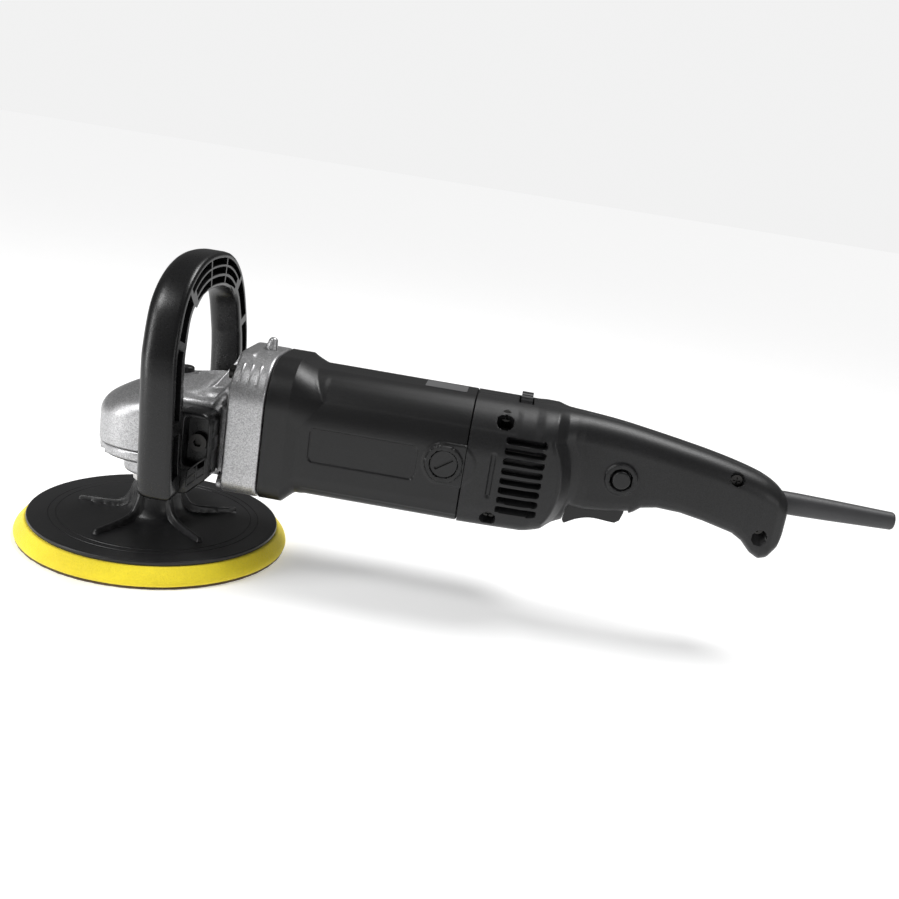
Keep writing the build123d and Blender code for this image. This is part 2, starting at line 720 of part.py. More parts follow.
with BuildPart() as stator_core:
    with BuildSketch(along_x(CORE_X0 - 1.0)):
        Circle(BORE_R)
        Circle(31.0, mode=Mode.SUBTRACT)
        for side in (-1, 1):
            with Locations((0, side * 27.5)):
                Rectangle(30.0, 13.0)
        Circle(23.2, mode=Mode.SUBTRACT)
    extrude(amount=CORE_X1 - CORE_X0 + 2.0)
save(stator_core.part, "stator_core")

with BuildPart() as field_coils:
    with BuildSketch(along_x(CORE_X0 - 8.0)):
        Circle(30.6)
        Circle(23.6, mode=Mode.SUBTRACT)
        Rectangle(31.4, 70.0, mode=Mode.SUBTRACT)
    extrude(amount=CORE_X1 - CORE_X0 + 16.0)
    # The end loops close the coils round each pole, clear of the core's ends.
    for x0 in (CORE_X0 - 8.0, CORE_X1 + 2.0):
        with BuildSketch(along_x(x0)):
            Circle(30.6)
            Circle(23.6, mode=Mode.SUBTRACT)
            Rectangle(70.0, 22.0, mode=Mode.SUBTRACT)
        extrude(amount=6.0)
save(field_coils.part, "field_coils")

# ---------------------------------------------------------------- motor housing
COLLAR_END = 100.0
BULKHEAD_X = 201.5
CAP_R = 8.35
BRUSH_HALF_X, BRUSH_HALF_Z = 3.2, 4.7
PANEL_X0, PANEL_X1 = 108.0, 176.0
BRUSH_HOLDER_END = 37.0

with BuildPart() as motor_housing:
    with BuildSketch(Plane.YZ.offset(SEAM_X)):
        rounded_outline(*FLANGE_SECTION)
    extrude(amount=15.0)
    with BuildSketch(Plane.YZ.offset(SEAM_X + 15.0)):
        rounded_outline(*FLANGE_SECTION)
    with BuildSketch(Plane.YZ.offset(COLLAR_END)):
        rounded_outline(*BARREL_SECTION)
    loft()
    with BuildSketch(Plane.YZ.offset(COLLAR_END)):
        rounded_outline(*BARREL_SECTION)
    extrude(amount=BARREL_END_X - COLLAR_END)
    # Raised ring round each brush cap, and a shallow panel on each side.
    for side in (-1, 1):
        with BuildSketch(facing_side(BRUSH_X, side * 40.0, MOTOR_Z)):
            Circle(11.8)
        extrude(amount=2.8)
        with BuildSketch(facing_side((PANEL_X0 + PANEL_X1) / 2, side * 42.0, 95.5)):
            RectangleRounded(PANEL_X1 - PANEL_X0, 22.0, 6.0)
        extrude(amount=-1.8, mode=Mode.SUBTRACT)
    with BuildSketch(along_x(SEAM_X)):
        Circle(BORE_R)
    extrude(amount=BULKHEAD_X - SEAM_X, mode=Mode.SUBTRACT)
    # Rear bulkhead: bearing boss and air openings.
    with BuildSketch(along_x(BULKHEAD_X)):
        Circle(14.0)
    extrude(amount=9.5)
    with BuildSketch(along_x(BULKHEAD_X)):
        Circle(REAR_BEARING[2])
    extrude(amount=REAR_BEARING[1] - BULKHEAD_X, mode=Mode.SUBTRACT)
    with BuildSketch(along_x(BULKHEAD_X)):
        with PolarLocations(25.0, 8):
            RectangleRounded(13.0, 11.0, 2.0)
    extrude(amount=BARREL_END_X - BULKHEAD_X, mode=Mode.SUBTRACT)
    for side in (-1, 1):
        with Locations(facing_side(BRUSH_X, side * 30.0, MOTOR_Z)):
            Cylinder(CAP_R, 20.0, align=UP, mode=Mode.SUBTRACT)
    for y, z in FLANGE_SCREWS:
        with Locations(along_x(FLANGE_SCREW_SEAT, y, z)):
            Cylinder(2.4, 41.0, align=UP, mode=Mode.SUBTRACT)
save(motor_housing.part, "motor_housing")

with BuildPart() as rating_label:
    with BuildSketch(Plane(origin=(185.0, 0, BARREL_SECTION[2]))):
        RectangleRounded(27.0, 17.0, 1.0)
    extrude(amount=0.3)
save(rating_label.part, "rating_label")

with BuildPart() as brush_holders:
    for side in (-1, 1):
        with BuildSketch(facing_side(BRUSH_X, side * 16.0, MOTOR_Z)):
            Rectangle(2 * BRUSH_HALF_X + 2.0, 2 * BRUSH_HALF_Z + 2.0)
            Rectangle(2 * BRUSH_HALF_X, 2 * BRUSH_HALF_Z, mode=Mode.SUBTRACT)
        extrude(amount=BRUSH_HOLDER_END - 16.0)
        with BuildSketch(facing_side(BRUSH_X, side * (BRUSH_HOLDER_END - 1.0), MOTOR_Z)):
            Circle(CAP_R)
            Rectangle(2 * BRUSH_HALF_X, 2 * BRUSH_HALF_Z, mode=Mode.SUBTRACT)
        extrude(amount=1.0)
save(brush_holders.part, "brush_holders")

with BuildPart() as carbon_brushes:
    for side in (-1, 1):
        with BuildSketch(facing_side(BRUSH_X, side * 14.4, MOTOR_Z)):
            Rectangle(2 * BRUSH_HALF_X, 2 * BRUSH_HALF_Z)
        extrude(amount=12.0)
save(carbon_brushes.part, "carbon_brushes")

brush_springs = Compound(
    children=[coil(facing_side(BRUSH_X, side * 26.4, MOTOR_Z), 2.4, 0.35, 10.6, 1.5) for side in (-1, 1)]
)
save(brush_springs, "brush_springs")

with BuildPart() as brush_caps:
    for side in (-1, 1):
        with BuildSketch(facing_side(BRUSH_X, side * BRUSH_HOLDER_END, MOTOR_Z)):
            Circle(CAP_R)
        extrude(amount=5.0)
        with BuildSketch(facing_side(BRUSH_X, side * (BRUSH_HOLDER_END + 3.4), MOTOR_Z)):
            with Locations(Rot(0, 0, 35)):
                Rectangle(12.6, 1.9)
        extrude(amount=3.0, mode=Mode.SUBTRACT)
save(brush_caps.part, "brush_caps")

# ================================================================ rear handle
VENT_Z = (75.5, 81.7, 88.0, 94.2, 100.4, 106.6, 112.9, 119.1)
VENT_X0, VENT_X1, VENT_H = 228.5, 254.0, 3.6
# Each handle screw is (x, z, y of its head seat, half length of its boss).
HANDLE_SCREWS = (
    (226.0, 131.0, -22.0, 27.0),
    (225.0, 69.0, -30.0, 36.0),
    (375.0, 112.6, -11.0, 15.6),
    (395.0, 84.0, -11.0, 14.0),
)
TRIGGER_W = 11.6  # half width of the trigger
SLEEVE_Z = 100.2
SCREW_LENGTH = 24.0
CLAMP_X, CLAMP_Z = 385.0, (90.5, 110.0)

with BuildPart() as handle_shell:
    for x, *section, _ in HANDLE_STATIONS:
        with BuildSketch(Plane.YZ.offset(x)):
            rounded_outline(*section)
    loft(ruled=True)
    # Hook under the tail, where the loft ends in a blunt face.
    with BuildSketch(Plane.XZ):
        polygon(
            [
                (380, 84),
                (387, 76.6),
                (394, 69.0),
                (400, 65.6),
                (405, 67.2),
                (410, 73.0),
                (412.4, 80.0),
                (411.8, 90.0),
                (TAIL_X, 100.0),
                (397, 100.0),
                (387, 92.0),
            ]
        )
    extrude(amount=14.0, both=True)
    # Hollow inside, from the front opening to the tail wall.
    for x, *section, floor in HANDLE_STATIONS[:-1]:
        half_width, _, ceiling, top_radius, bottom_radius = inset(section, WALL)
        with BuildSketch(Plane.YZ.offset(x)):
            rounded_outline(half_width, floor, ceiling, top_radius, bottom_radius)
    loft(ruled=True, mode=Mode.SUBTRACT)
    # Vent slots through both sides.
    for z in VENT_Z:
        for side in (-1, 1):
            with BuildSketch(facing_side((VENT_X0 + VENT_X1) / 2, side * 30.0, z)):
                SlotOverall(VENT_X1 - VENT_X0, VENT_H)
            extrude(amount=15.0, mode=Mode.SUBTRACT)
    # Opening for the trigger, and the slot for the speed dial.
    with BuildSketch(Plane.XY.offset(66.0)):
        with Locations((292.1, 0)):
            Rectangle(40.6, 2 * TRIGGER_W + 1.0)
    extrude(amount=26.0, mode=Mode.SUBTRACT)
    with BuildSketch(Plane.XY.offset(DIAL_Z)):
        with Locations((DIAL_X, 0)):
            Rectangle(2 * DIAL_HALF + 1.0, 2 * DIAL_R + 1.0)
    extrude(amount=20.0, mode=Mode.SUBTRACT)
    # Tail hole and groove for the cord sleeve.
    with BuildSketch(along_x(394.0, 0, SLEEVE_Z)):
        Circle(7.4)
    extrude(amount=30.0, mode=Mode.SUBTRACT)
    # Lock button: raised ring on the left side and its hole.
    with BuildSketch(facing_side(LOCK_X, -14.0, LOCK_Z)):
        Circle(10.2)
    extrude(amount=7.0)
    with BuildSketch(facing_side(LOCK_X, -14.0, LOCK_Z)):
        Circle(6.2)
    extrude(amount=10.0, mode=Mode.SUBTRACT)
    # Trigger pin bosses and screw bosses.
    for side in (-1, 1):
        with BuildSketch(facing_side(TRIGGER_PIVOT[0], side * 12.2, TRIGGER_PIVOT[1])):
            Circle(4.2)
        extrude(amount=8.0)
    for x, z, seat_y, reach in HANDLE_SCREWS:
        with BuildSketch(facing_side(x, -reach, z)):
            Circle(4.4)
        extrude(amount=-2 * reach)
    for z in CLAMP_Z:
        with BuildSketch(facing_side(CLAMP_X, 16.0, z)):
            Rectangle(9.0, 6.0)
        extrude(amount=-14.0)
    # Screw holes: head wells from the left side, then the shank.
    for x, z, seat_y, reach in HANDLE_SCREWS:
        with Locations(facing_side(x, seat_y, z)):
            Cylinder(3.9, 20.0, align=UP, mode=Mode.SUBTRACT)
            Cylinder(1.9, SCREW_LENGTH, align=DOWN, mode=Mode.SUBTRACT)
    with BuildSketch(facing_side(TRIGGER_PIVOT[0], -17.0, TRIGGER_PIVOT[1])):
        Circle(1.5)
    extrude(amount=-34.0, mode=Mode.SUBTRACT)
    for z in CLAMP_Z:
        with BuildSketch(facing_side(CLAMP_X, 12.0, z)):
            Circle(1.3)
        extrude(amount=-12.0, mode=Mode.SUBTRACT)

for half_name, kept_side in (("handle_left", Keep.TOP), ("handle_right", Keep.BOTTOM)):
    half = split(handle_shell.part, bisect_by=Plane.XZ, keep=kept_side)
    save(half, half_name)

with BuildPart() as handle_screws:
    for x, z, seat_y, reach in HANDLE_SCREWS:
        with Locations(facing_side(x, seat_y, z)):
            Cylinder(3.7, 2.6, align=UP)
            Cylinder(1.9, SCREW_LENGTH, align=DOWN)
        with Locations(facing_side(x, seat_y - 2.6, z)):
            Box(4.6, 1.0, 2.4, mode=Mode.SUBTRACT)
            Box(1.0, 4.6, 2.4, mode=Mode.SUBTRACT)
save(handle_screws.part, "handle_screws")

# ---------------------------------------------------------------- trigger and switch
with BuildPart() as trigger:
    with BuildSketch(Plane.XZ):
        with BuildLine():
            Polyline((275.0, 97.0), (274.4, 80.0), (272.6, 66.4), (273.8, 64.2))
            Spline(
                (273.8, 64.2),
                (280.0, 67.8),
                (289.0, 70.8),
                (306.0, 70.4),
                tangents=[(1, 0.55), (1, 0.0)],
            )
            Polyline((306.0, 70.4), (308.8, 72.4), (310.4, 78.0), (310.4, 92.0), (284.0, 92.0), (283.0, 97.0))
            Line((283.0, 97.0), (275.0, 97.0))
        make_face()
    extrude(amount=TRIGGER_W, both=True)
    fillet(trigger.edges().filter_by(Axis.Y).group_by(Axis.Z)[0], radius=1.0)
    with BuildSketch(Plane.XZ):
        with Locations(TRIGGER_PIVOT):
            Circle(1.5 + RUN_GAP)
    extrude(amount=12.0, both=True, mode=Mode.SUBTRACT)
    # Spring seat, open towards the switch.
    with BuildSketch(Plane(origin=(301.0, 0, 88.0))):
        Circle(4.6)
    extrude(amount=6.0, mode=Mode.SUBTRACT)
save(trigger.part, "trigger")

with BuildPart() as trigger_pin:
    with BuildSketch(facing_side(TRIGGER_PIVOT[0], -15.0, TRIGGER_PIVOT[1])):
        Circle(1.5)
    extrude(amount=-30.0)
save(trigger_pin.part, "trigger_pin")

SWITCH_X0, SWITCH_X1, SWITCH_Z0, SWITCH_Z1 = 288.0, 326.0, 98.0, 118.0
with BuildPart() as switch_body:
    with BuildSketch(Plane.XY.offset(SWITCH_Z0)):
        with Locations(((SWITCH_X0 + SWITCH_X1) / 2, 0)):
            RectangleRounded(SWITCH_X1 - SWITCH_X0, 17.0, 1.5)
    extrude(amount=SWITCH_Z1 - SWITCH_Z0)
    for x in (296.0, 306.0, 316.0):
        with BuildSketch(Plane(origin=(x, 0, SWITCH_Z1))):
            Rectangle(5.0, 6.0)
        extrude(amount=4.0)
save(switch_body.part, "switch_body")

save(coil(Plane(origin=(301.0, 0, 88.1)), 3.2, 0.4, 9.8, 2.1), "trigger_spring")

with BuildPart() as lock_button:
    with BuildSketch(facing_side(LOCK_X, -15.6, LOCK_Z)):
        Circle(5.8)
    extrude(amount=7.4)
    fillet(lock_button.edges().group_by(Axis.Y)[0], radius=1.2)
    with BuildSketch(facing_side(LOCK_X, -11.6, LOCK_Z)):
        Circle(2.4)
    extrude(amount=4.0)
save(lock_button.part, "lock_button")

lock_button_spring = coil(facing_side(LOCK_X, -8.8, LOCK_Z), 3.6, 0.35, 6.6, 2.0)
save(lock_button_spring, "lock_button_spring")

with BuildPart() as speed_controller:
    with BuildSketch(Plane.XY.offset(98.0)):
        with Locations((DIAL_X, 0)):
            RectangleRounded(34.0, 30.0, 2.0)
    extrude(amount=14.0)
    for side in (-1, 1):
        with BuildSketch(along_x(DIAL_X + side * 4.8, 0, 123.0)):
            Rectangle(8.0, 22.4)
        extrude(amount=0.7, both=True)
    with BuildSketch(along_x(DIAL_X - 5.9, 0, DIAL_Z)):
        Circle(1.4)
    extrude(amount=11.8)
save(speed_controller.part, "speed_controller")

with BuildPart() as speed_dial:
    with BuildSketch(along_x(DIAL_X - DIAL_HALF, 0, DIAL_Z)):
        Circle(DIAL_R)
        with PolarLocations(DIAL_R, 24):
            Circle(0.5, mode=Mode.SUBTRACT)
        Circle(1.4 + RUN_GAP, mode=Mode.SUBTRACT)
    extrude(amount=2 * DIAL_HALF)
save(speed_dial.part, "speed_dial")

with BuildPart() as cord_sleeve:
    with BuildSketch(Plane.XZ):
        with BuildLine():
            Polyline(
                (394.0, SLEEVE_Z + 4.1),
                (394.0, SLEEVE_Z + 7.4),
                (418.0, SLEEVE_Z + 7.4),
                (440.0, SLEEVE_Z + 6.9),
                (479.0, SLEEVE_Z + 5.7),
                (480.0, SLEEVE_Z + 5.2),
                (480.0, SLEEVE_Z + 4.1),
                close=True,
            )
        make_face()
    revolve(axis=Axis((0, 0, SLEEVE_Z), (1, 0, 0)))
save(cord_sleeve.part, "cord_sleeve")

with BuildPart() as cord_clamp:
    with BuildSketch(facing_side(CLAMP_X, 2.0, sum(CLAMP_Z) / 2)):
        Rectangle(8.0, 25.0)
        with Locations((0, (CLAMP_Z[0] - CLAMP_Z[1]) / 2), (0, (CLAMP_Z[1] - CLAMP_Z[0]) / 2)):
            Circle(1.6, mode=Mode.SUBTRACT)
    extrude(amount=-2.5)
save(cord_clamp.part, "cord_clamp")

with BuildPart() as cord_clamp_screws:
    for z in CLAMP_Z:
        with Locations(facing_side(CLAMP_X, -0.5, z)):
            Cylinder(2.8, 2.0, align=UP)
            Cylinder(1.3, 12.0, align=DOWN)
save(cord_clamp_screws.part, "cord_clamp_screws")

# ================================================================ loop handle
# Slots along each leg, as (y, z) centre and length at the leg's slant.
LEG_SLOTS = ((67.0, 79.5, 30.0), (67.4, 126.0, 44.0))  # y, middle z, length
ROW_Z = (180.6, 186.4, 192.2)
CELL_DEPTH = 14.0

OUTER_ARCH = ((73.4, 84), (LOOP_OUT_Y, 127), (70, 148), (60, 164), (42, 181), (24, 193))
INNER_ARCH = ((52, 107), (LOOP_IN_Y, 134), (50, 156), (38.5, 173.5), (20, LOOP_IN_TOP))
TOE = ((70.5, 57), (64, LEG_BOTTOM), (54, LEG_BOTTOM), (52, 60))  # outside to inside

with BuildPart() as loop_handle:
    with BuildSketch(Plane.YZ.offset(LOOP_X0)):
        with BuildLine():
            mirrored_outer = [(-y, z) for y, z in OUTER_ARCH]
            mirrored_inner = [(-y, z) for y, z in INNER_ARCH]
            Spline(*mirrored_outer, (0, LOOP_TOP), *reversed(OUTER_ARCH), tangents=[(0, 1), (0, -1)])
            Polyline(OUTER_ARCH[0], *TOE, INNER_ARCH[0])
            Spline(*INNER_ARCH, *reversed(mirrored_inner), tangents=[(0.05, 1), (0.05, -1)])
            Polyline(mirrored_inner[0], *[(-y, z) for y, z in reversed(TOE)], mirrored_outer[0])
        make_face()
    extrude(amount=LOOP_X1 - LOOP_X0)
    # Feet reach in to the gear housing's side faces; their lower rear corner is cut at a slant.
    for side in (-1, 1):
        with BuildSketch(Plane.XZ.offset(-side * FOOT_IN_Y)):
            polygon(
                [
                    (FOOT_X0, FOOT_BOTTOM),
                    (36.0, 52.0),
                    (FOOT_X1, 66.0),
                    (FOOT_X1, 102.0),
                    (FOOT_X1 - 5.0, FOOT_TOP - 1.0),
                    (FOOT_X0, FOOT_TOP),
                ]
            )
        extrude(amount=-side * (FOOT_OUT_Y - FOOT_IN_Y))
    # Room for the round gear chamber.
    with BuildSketch(Plane.XY.offset(LEG_BOTTOM - 1.0)):
        Circle(HEAD_R + 0.5)
    extrude(amount=48.0, mode=Mode.SUBTRACT)
    # Open cells on the rear face.
    with BuildSketch(Plane.YZ.offset(LOOP_X1)):
        for side in (-1, 1):
            for y, z, length in LEG_SLOTS:
                with Locations((side * y, z)):
                    Rectangle(6.0, length)
        for z in ROW_Z[:2]:
            for y in (-21, -7, 7, 21):
                with Locations((y, z)):
                    Rectangle(12.0, 3.6)
        with Locations((-7, ROW_Z[2]), (7, ROW_Z[2])):
            Rectangle(12.0, 3.2)
    extrude(amount=-CELL_DEPTH, mode=Mode.SUBTRACT)
    # Window over the bolt in the foot's outer face.
    for side in (-1, 1):
        with BuildSketch(facing_side(BOLT_X, side * FOOT_OUT_Y, BOLT_Z)):
            RectangleRounded(13.6, 28.0, 3.5)
        extrude(amount=-WINDOW_DEPTH, mode=Mode.SUBTRACT)
        with Locations(facing_side(BOLT_X, side * 30.0, BOLT_Z)):
            Cylinder(4.0, 20.0, align=UP, mode=Mode.SUBTRACT)
save(loop_handle.part, "loop_handle")

BOLT_SEAT_Y = FOOT_OUT_Y - WINDOW_DEPTH
with BuildPart() as loop_bolts:
    for side in (-1, 1):
        with Locations(facing_side(BOLT_X, side * (BOLT_SEAT_Y + 1.4), BOLT_Z)):
            Cylinder(5.6, 4.4, align=UP)
            Cylinder(4.0, 16.0, align=DOWN)
        with BuildSketch(facing_side(BOLT_X, side * (BOLT_SEAT_Y + 3.4), BOLT_Z)):
            RegularPolygon(2.9, 6)
        extrude(amount=4.0, mode=Mode.SUBTRACT)
save(loop_bolts.part, "loop_bolts")

with BuildPart() as loop_washers:
    for side in (-1, 1):
        with BuildSketch(facing_side(BOLT_X, side * BOLT_SEAT_Y, BOLT_Z)):
            Circle(6.4)
            Circle(4.0, mode=Mode.SUBTRACT)
        extrude(amount=1.4)
save(loop_washers.part, "loop_washers")
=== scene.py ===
import math

import bpy
import numpy as np
from mathutils import Matrix, Vector


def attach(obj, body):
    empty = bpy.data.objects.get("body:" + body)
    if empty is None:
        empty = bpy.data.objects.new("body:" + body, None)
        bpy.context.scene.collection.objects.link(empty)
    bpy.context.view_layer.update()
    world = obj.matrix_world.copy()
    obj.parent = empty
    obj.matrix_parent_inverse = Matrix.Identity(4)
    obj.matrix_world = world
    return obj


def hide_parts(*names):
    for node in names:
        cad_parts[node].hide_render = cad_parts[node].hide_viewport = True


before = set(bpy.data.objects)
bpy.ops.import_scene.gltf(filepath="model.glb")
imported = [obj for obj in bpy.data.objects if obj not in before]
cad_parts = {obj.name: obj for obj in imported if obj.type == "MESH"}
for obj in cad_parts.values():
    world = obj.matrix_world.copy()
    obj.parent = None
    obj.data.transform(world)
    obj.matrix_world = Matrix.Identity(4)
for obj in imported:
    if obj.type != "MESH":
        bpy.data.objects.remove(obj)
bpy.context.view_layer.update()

# ---- Hook layer under the foam pad
# The real layer is a disc of woven hook cloth glued to the foam, dark brown, cut a little ragged at its
# rim. It is one turned sheet here, 1.5 mm thick, with the cloth's loops in its material.


def put(name, verts, faces, material, body, nodes=(), sharp=38.0, smooth=True):
    """A mesh object from points in millimetres and index arrays, one array of quads and one of triangles.
    The sum of corner 1 . (corner 2 x corner 3) over the faces is the enclosed volume, so a negative one turns
    every face round. The object rides on a CAD body."""
    verts = np.asarray(verts, float) / 1000.0
    corners = [(verts[f[:, 0]], verts[f[:, 1]], verts[f[:, 2]]) for f in faces]
    if sum(np.einsum("ij,ij->", a, np.cross(b, c)) for a, b, c in corners) < 0:
        faces = [f[:, ::-1] for f in faces]
    mesh = bpy.data.meshes.new(name)
    mesh.from_pydata(verts.tolist(), [], sum((f.tolist() for f in faces), []))
    mesh.validate()
    mesh.polygons.foreach_set("use_smooth", [smooth] * len(mesh.polygons))
    if smooth and sharp:
        mesh.set_sharp_from_angle(angle=math.radians(sharp))
    mesh.materials.append(material)
    obj = bpy.data.objects.new(name, mesh)
    bpy.context.scene.collection.objects.link(obj)
    if body:
        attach(obj, body)
        if nodes:
            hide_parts(*nodes)
    return obj


def grid_faces(rows, cols, loop=False):
    """Quads of a rows x cols grid of points; its last column joins the first, and in a loop its last row too."""
    i, j = np.meshgrid(np.arange(rows if loop else rows - 1), np.arange(cols), indexing="ij")
    k, m = (j + 1) % cols, (i + 1) % rows
    quads = np.stack([i * cols + j, i * cols + k, m * cols + k, m * cols + j], axis=-1)
    return quads.reshape(-1, 4)


def close_ends(points):
    """Points and faces of a ring grid with each end closed by a fan to the mean of its last ring."""
    rows, cols = points.shape[:2]
    middles = [points[0].mean(axis=0), points[-1].mean(axis=0)]
    verts = np.concatenate([points.reshape(-1, 3), middles])
    here = np.arange(cols)
    after = (here + 1) % cols
    last = (rows - 1) * cols
    first_fan = np.stack([np.full(cols, rows * cols), after, here], axis=-1)
    last_fan = np.stack([np.full(cols, rows * cols + 1), last + here, last + after], axis=-1)
    return verts, [grid_faces(rows, cols), np.concatenate([first_fan, last_fan])]


def turned(profile, cols):
    """Points (radius, height) turned about Z: ring i is radius * (cos a, sin a) at that height."""
    profile = np.array(profile, float)
    angles = np.linspace(0, 2 * math.pi, cols, endpoint=False)
    height = np.repeat(profile[:, 1:], cols, axis=1)
    return np.stack([profile[:, :1] * np.cos(angles), profile[:, :1] * np.sin(angles), height], axis=-1)


def rounded(points, radius, steps=4):
    """The corners of an open polyline, each replaced by a short arc that starts radius before it."""
    out = [np.array(points[0], float)]
    for before, here, after in zip(points, points[1:], points[2:]):
        b, h, a = (np.array(p, float) for p in (before, here, after))
        reach = min(radius, np.linalg.norm(b - h) * 0.45, np.linalg.norm(a - h) * 0.45)
        p = h + (b - h) / max(np.linalg.norm(b - h), 1e-9) * reach
        q = h + (a - h) / max(np.linalg.norm(a - h), 1e-9) * reach
        for t in np.linspace(0, 1, steps + 1):
            out.append((1 - t) ** 2 * p + 2 * t * (1 - t) * h + t ** 2 * q)
    out.append(np.array(points[-1], float))
    return out


def surface(name, color, rough, metallic=0.0, grain=(900.0, 0.00002), blotch=0.12, rough_swing=0.12,
            speck=0.0, sheen=0.0, second=None, gloss=0.5):
    """A procedural material: fine grain as bump, broad blotches of tone, and roughness that drifts with the
    grain. grain is (noise scale per metre, height in metres), speck lightens and darkens random flakes, and
    second is a broader wear, written like grain."""
    mat = bpy.data.materials.new(name)
    mat.use_nodes = True
    tree = mat.node_tree
    shader = tree.nodes["Principled BSDF"]
    coords = tree.nodes.new("ShaderNodeTexCoord")

    def noise(scale, detail, roughness=0.5):
        node = tree.nodes.new("ShaderNodeTexNoise")
        node.inputs["Scale"].default_value = scale
        node.inputs["Detail"].default_value = detail
        node.inputs["Roughness"].default_value = roughness
        tree.links.new(coords.outputs["Object"], node.inputs["Vector"])
        return node

    def remap(source, low, high, out_low, out_high):
        node = tree.nodes.new("ShaderNodeMapRange")
        for key, value in (("From Min", low), ("From Max", high), ("To Min", out_low), ("To Max", out_high)):
            node.inputs[key].default_value = value
        tree.links.new(source, node.inputs["Value"])
        return node.outputs["Result"]

    broad = noise(22.0, 3.0)
    fine = noise(grain[0], 4.0, 0.6)
    tone = tree.nodes.new("ShaderNodeMix")
    tone.data_type = "RGBA"
    tone.inputs["A"].default_value = (*[c * (1 - blotch) for c in color], 1)
    tone.inputs["B"].default_value = (*[min(1.0, c * (1 + blotch)) for c in color], 1)
    tree.links.new(remap(broad.outputs["Fac"], 0.3, 0.7, 0, 1), tone.inputs["Factor"])
    result = tone.outputs["Result"]
    if speck:
        flakes = tree.nodes.new("ShaderNodeTexVoronoi")
        flakes.inputs["Scale"].default_value = grain[0] * 1.3
        tree.links.new(coords.outputs["Object"], flakes.inputs["Vector"])
        bright = tree.nodes.new("ShaderNodeMix")
        bright.data_type = "RGBA"
        bright.blend_type = "MULTIPLY"
        bright.inputs["Factor"].default_value = 1.0
        dark_light = tree.nodes.new("ShaderNodeMix")
        dark_light.data_type = "RGBA"
        dark_light.inputs["A"].default_value = (1 - speck, 1 - speck, 1 - speck, 1)
        dark_light.inputs["B"].default_value = (1 + speck, 1 + speck, 1 + speck, 1)
        split = tree.nodes.new("ShaderNodeSeparateColor")
        tree.links.new(flakes.outputs["Color"], split.inputs["Color"])
        tree.links.new(split.outputs["Red"], dark_light.inputs["Factor"])
        tree.links.new(result, bright.inputs["A"])
        tree.links.new(dark_light.outputs["Result"], bright.inputs["B"])
        result = bright.outputs["Result"]
    tree.links.new(result, shader.inputs["Base Color"])
    tree.links.new(remap(fine.outputs["Fac"], 0.25, 0.75, rough - rough_swing / 2, rough + rough_swing / 2),
                   shader.inputs["Roughness"])
    shader.inputs["Metallic"].default_value = metallic
    shader.inputs["Specular IOR Level"].default_value = gloss
    shader.inputs["Sheen Weight"].default_value = sheen
    bump = tree.nodes.new("ShaderNodeBump")
    bump.inputs["Strength"].default_value = 1.0
    bump.inputs["Distance"].default_value = grain[1]
    tree.links.new(fine.outputs["Fac"], bump.inputs["Height"])
    if second:
        wear = noise(second[0], 6.0, 0.7)
        more = tree.nodes.new("ShaderNodeBump")
        more.inputs["Distance"].default_value = second[1]
        tree.links.new(wear.outputs["Fac"], more.inputs["Height"])
        tree.links.new(bump.outputs["Normal"], more.inputs["Normal"])
        tree.links.new(more.outputs["Normal"], shader.inputs["Normal"])
    else:
        tree.links.new(bump.outputs["Normal"], shader.inputs["Normal"])
    return mat


hook_cloth = surface("hook_cloth", (0.10, 0.065, 0.035), 0.9, grain=(1500.0, 0.0004), blotch=0.35, sheen=0.3)
rim = [(88.7, 0.02), (89.0, 0.35), (88.9, 1.15), (88.6, 1.5)]
verts, faces = close_ends(turned(rim, 256))
ragged = np.hypot(verts[:, 0], verts[:, 1]) > 50
turn = np.arctan2(verts[:, 1], verts[:, 0])
verts[ragged, :2] *= (1 - 0.0022 * (1 + np.sin(turn * 61) * np.sin(turn * 23 + 1)))[ragged, None]
put("pad_hook_cloth", verts, faces, hook_cloth, "spindle_set", ["hook_layer"])

# ---- Foam pad
# Open-cell polyurethane foam, moulded to the disc, bright yellow; its side slopes in to the disc's rim. It
# is widest just above the hook cloth, with small open pores and a faintly uneven cut edge.
foam = surface("yellow_foam", (0.96, 0.76, 0.015), 0.72, grain=(700.0, 0.0005), blotch=0.06, speck=0.03,
               sheen=0.25)
side = [(88.2, 1.5), (89.4, 2.0), (89.9, 3.0), (89.9, 4.2), (89.2, 6.2), (87.6, 8.4), (85.6, 10.6),
        (84.2, 12.0), (83.3, 12.55), (81.0, 12.6)]
verts, faces = close_ends(turned(rounded(side, 1.2, 3), 288))
turn = np.arctan2(verts[:, 1], verts[:, 0])
radius = np.hypot(verts[:, 0], verts[:, 1])
soft = np.clip((radius - 80) / 6, 0, 1)
shrink = 0.0016 * soft * (1 + np.sin(turn * 7 + 0.6) * 0.5 + np.sin(turn * 19 + verts[:, 2] * 0.4) * 0.3)
verts[:, :2] *= (1 - shrink)[:, None]
put("pad_foam", verts, faces, foam, "spindle_set", ["foam_pad"])

# ---- Backing disc
# One moulding of dark glass-filled nylon: a flat disc, a trumpet-shaped hub and five fins that run down
# the hub. Two fine rings are turned in the flat, and the rim is rounded where it meets the foam.


